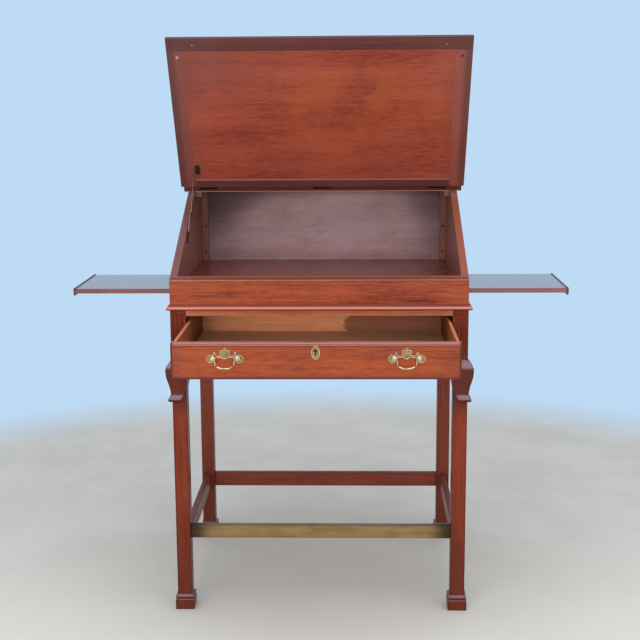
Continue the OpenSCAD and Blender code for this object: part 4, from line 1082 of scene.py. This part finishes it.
def paintFloor(look):
    paint = Paint("paleFloor")
    seat = paint.place()
    depth = paint.part(seat, "Y")
    speckle = paint.noise(seat, 3.5, 7.0, 0.68)
    grit = paint.noise(seat, 260.0, 3.0, 0.6)
    dark, light = (scaled(look["floor"], share) for share in look["speckle"])
    colour = paint.tint(speckle.between(0.35, 0.68), dark, light)
    # painted light: the floor is brightened before the desk
    colour = paint.tint(depth.fall(0.0, look["nearSpan"]), colour, scaled(look["floor"], look["near"]))
    colour = paint.stainAndLight(grit.between(0.50, 0.75), colour, look["grit"])
    paint.finish(colour=colour, rough=0.9, shine=0.2)
    away = paint.make("ShaderNodeVectorMath", {"operation": "LENGTH"}, {0: seat}, output="Value")
    mirrored = paint.make("ShaderNodeLightPath", output="Is Glossy Ray")
    mirrored = mirrored * depth.rise(0.0, look["fadeMirrored"])
    seen = (paint.make("ShaderNodeLightPath", output="Is Camera Ray") + mirrored).clamped()
    melt = away.rise(0.0, look["fade"]) * seen
    glow = paint.make("ShaderNodeEmission", {}, {"Color": look["backdrop"], "Strength": 1.0})
    plain = Value(paint, paint.shader.outputs[0])
    mixed = paint.make("ShaderNodeMixShader", {}, {0: melt, 1: plain, 2: glow})
    paint.feed(paint.tree.nodes["Material Output"].inputs["Surface"], mixed)
    return paint.material


def paintSky(look):
    world = bpy.data.worlds.new("softSky")
    bpy.context.scene.world = world
    world.use_nodes = True
    world.node_tree.nodes.clear()
    paint = Paint("sky", world.node_tree)
    way = paint.make("ShaderNodeTexCoord", output="Generated")
    up = paint.part(way, "Z").between(-0.05, 0.75)
    behind = paint.part(way, "Y").between(-0.45, 0.45)
    gloss = paint.make("ShaderNodeLightPath", output="Is Glossy Ray")
    front = look["skyFront"] - gloss * (look["skyFront"] - look["glossFront"])
    level = up * look["skyTop"] + (1.0 - up) * (behind * look["skyBack"] + (1.0 - behind) * front)
    colour = paint.tint(gloss, look["sky"], paint.tint(behind, look["glossTone"], look["backdrop"]))
    fill = paint.make("ShaderNodeBackground", {}, {"Color": colour, "Strength": level})
    seen = paint.make("ShaderNodeBackground", {}, {"Color": look["backdrop"], "Strength": 1.0})
    camera = paint.make("ShaderNodeLightPath", output="Is Camera Ray")
    mixed = paint.make("ShaderNodeMixShader", {}, {0: camera, 1: fill, 2: seen})
    paint.feed(paint.tree.nodes.new("ShaderNodeOutputWorld").inputs[0], mixed)


clearSelection()
bpy.ops.mesh.primitive_plane_add(size=60, location=(0, 0, 0))
floor = bpy.context.object
floor.name = "stageFloor"
floor.data.materials.append(paintFloor(stageLook))
paintSky(stageLook)

lampLooks = {
    # low and wide, so that its light reaches the back of the open drawer
    "frontLamp": {"place": (-0.7, -5.4, 1.60), "aim": (0, 0, 1.0), "size": (6.0, 1.3), "power": 205.0,
                  "colour": (1.0, 0.985, 0.96), "mirrored": False},  # its glare would whiten the slides
    "sideLamp": {"place": (3.2, -3.2, 2.2), "aim": (0, 0, 0.9), "size": (2.6, 2.6), "power": 14.0,
                 "colour": (1.0, 0.97, 0.94), "mirrored": True},
    "topLamp": {"place": (0.2, -0.9, 4.2), "aim": (0, 0, 0.9), "size": (3.4, 3.4), "power": 75.0,
                "colour": (0.93, 0.96, 1.0), "mirrored": True},
}
for name, look in lampLooks.items():
    lamp = bpy.data.lights.new(name, "AREA")
    lamp.shape = "RECTANGLE"
    lamp.size, lamp.size_y = look["size"]
    lamp.energy = look["power"]
    lamp.color = look["colour"]
    holder = bpy.data.objects.new(name, lamp)
    bpy.context.scene.collection.objects.link(holder)
    holder.location = look["place"]
    holder.visible_glossy = look["mirrored"]
    aim = Vector(look["aim"]) - Vector(look["place"])
    holder.rotation_euler = aim.to_track_quat("-Z", "Y").to_euler()
print("floor, sky and lamps done")

# where the photo was taken from, with angles in radians
cameraLook = {
    "place": (0.0900, deskFront - 3.0673, 1.3655),
    "pitch": 0.1837,
    "yaw": 0.0284,
    "roll": -0.0064,
    "lens": 67.905,
    "sensor": 36.0,
}
lens = bpy.data.cameras.new("photoCamera")
lens.lens = cameraLook["lens"]
lens.sensor_width = cameraLook["sensor"]
lens.clip_end = 200.0
camera = bpy.data.objects.new("photoCamera", lens)
bpy.context.scene.collection.objects.link(camera)
camera.matrix_world = (Matrix.Translation(cameraLook["place"])
                       @ Matrix.Rotation(cameraLook["yaw"], 4, "Z")
                       @ Matrix.Rotation(math.pi / 2 - cameraLook["pitch"], 4, "X")
                       @ Matrix.Rotation(cameraLook["roll"], 4, "Z"))
bpy.context.scene.camera = camera
bpy.context.scene.view_settings.view_transform = "Standard"

print("scene ready")
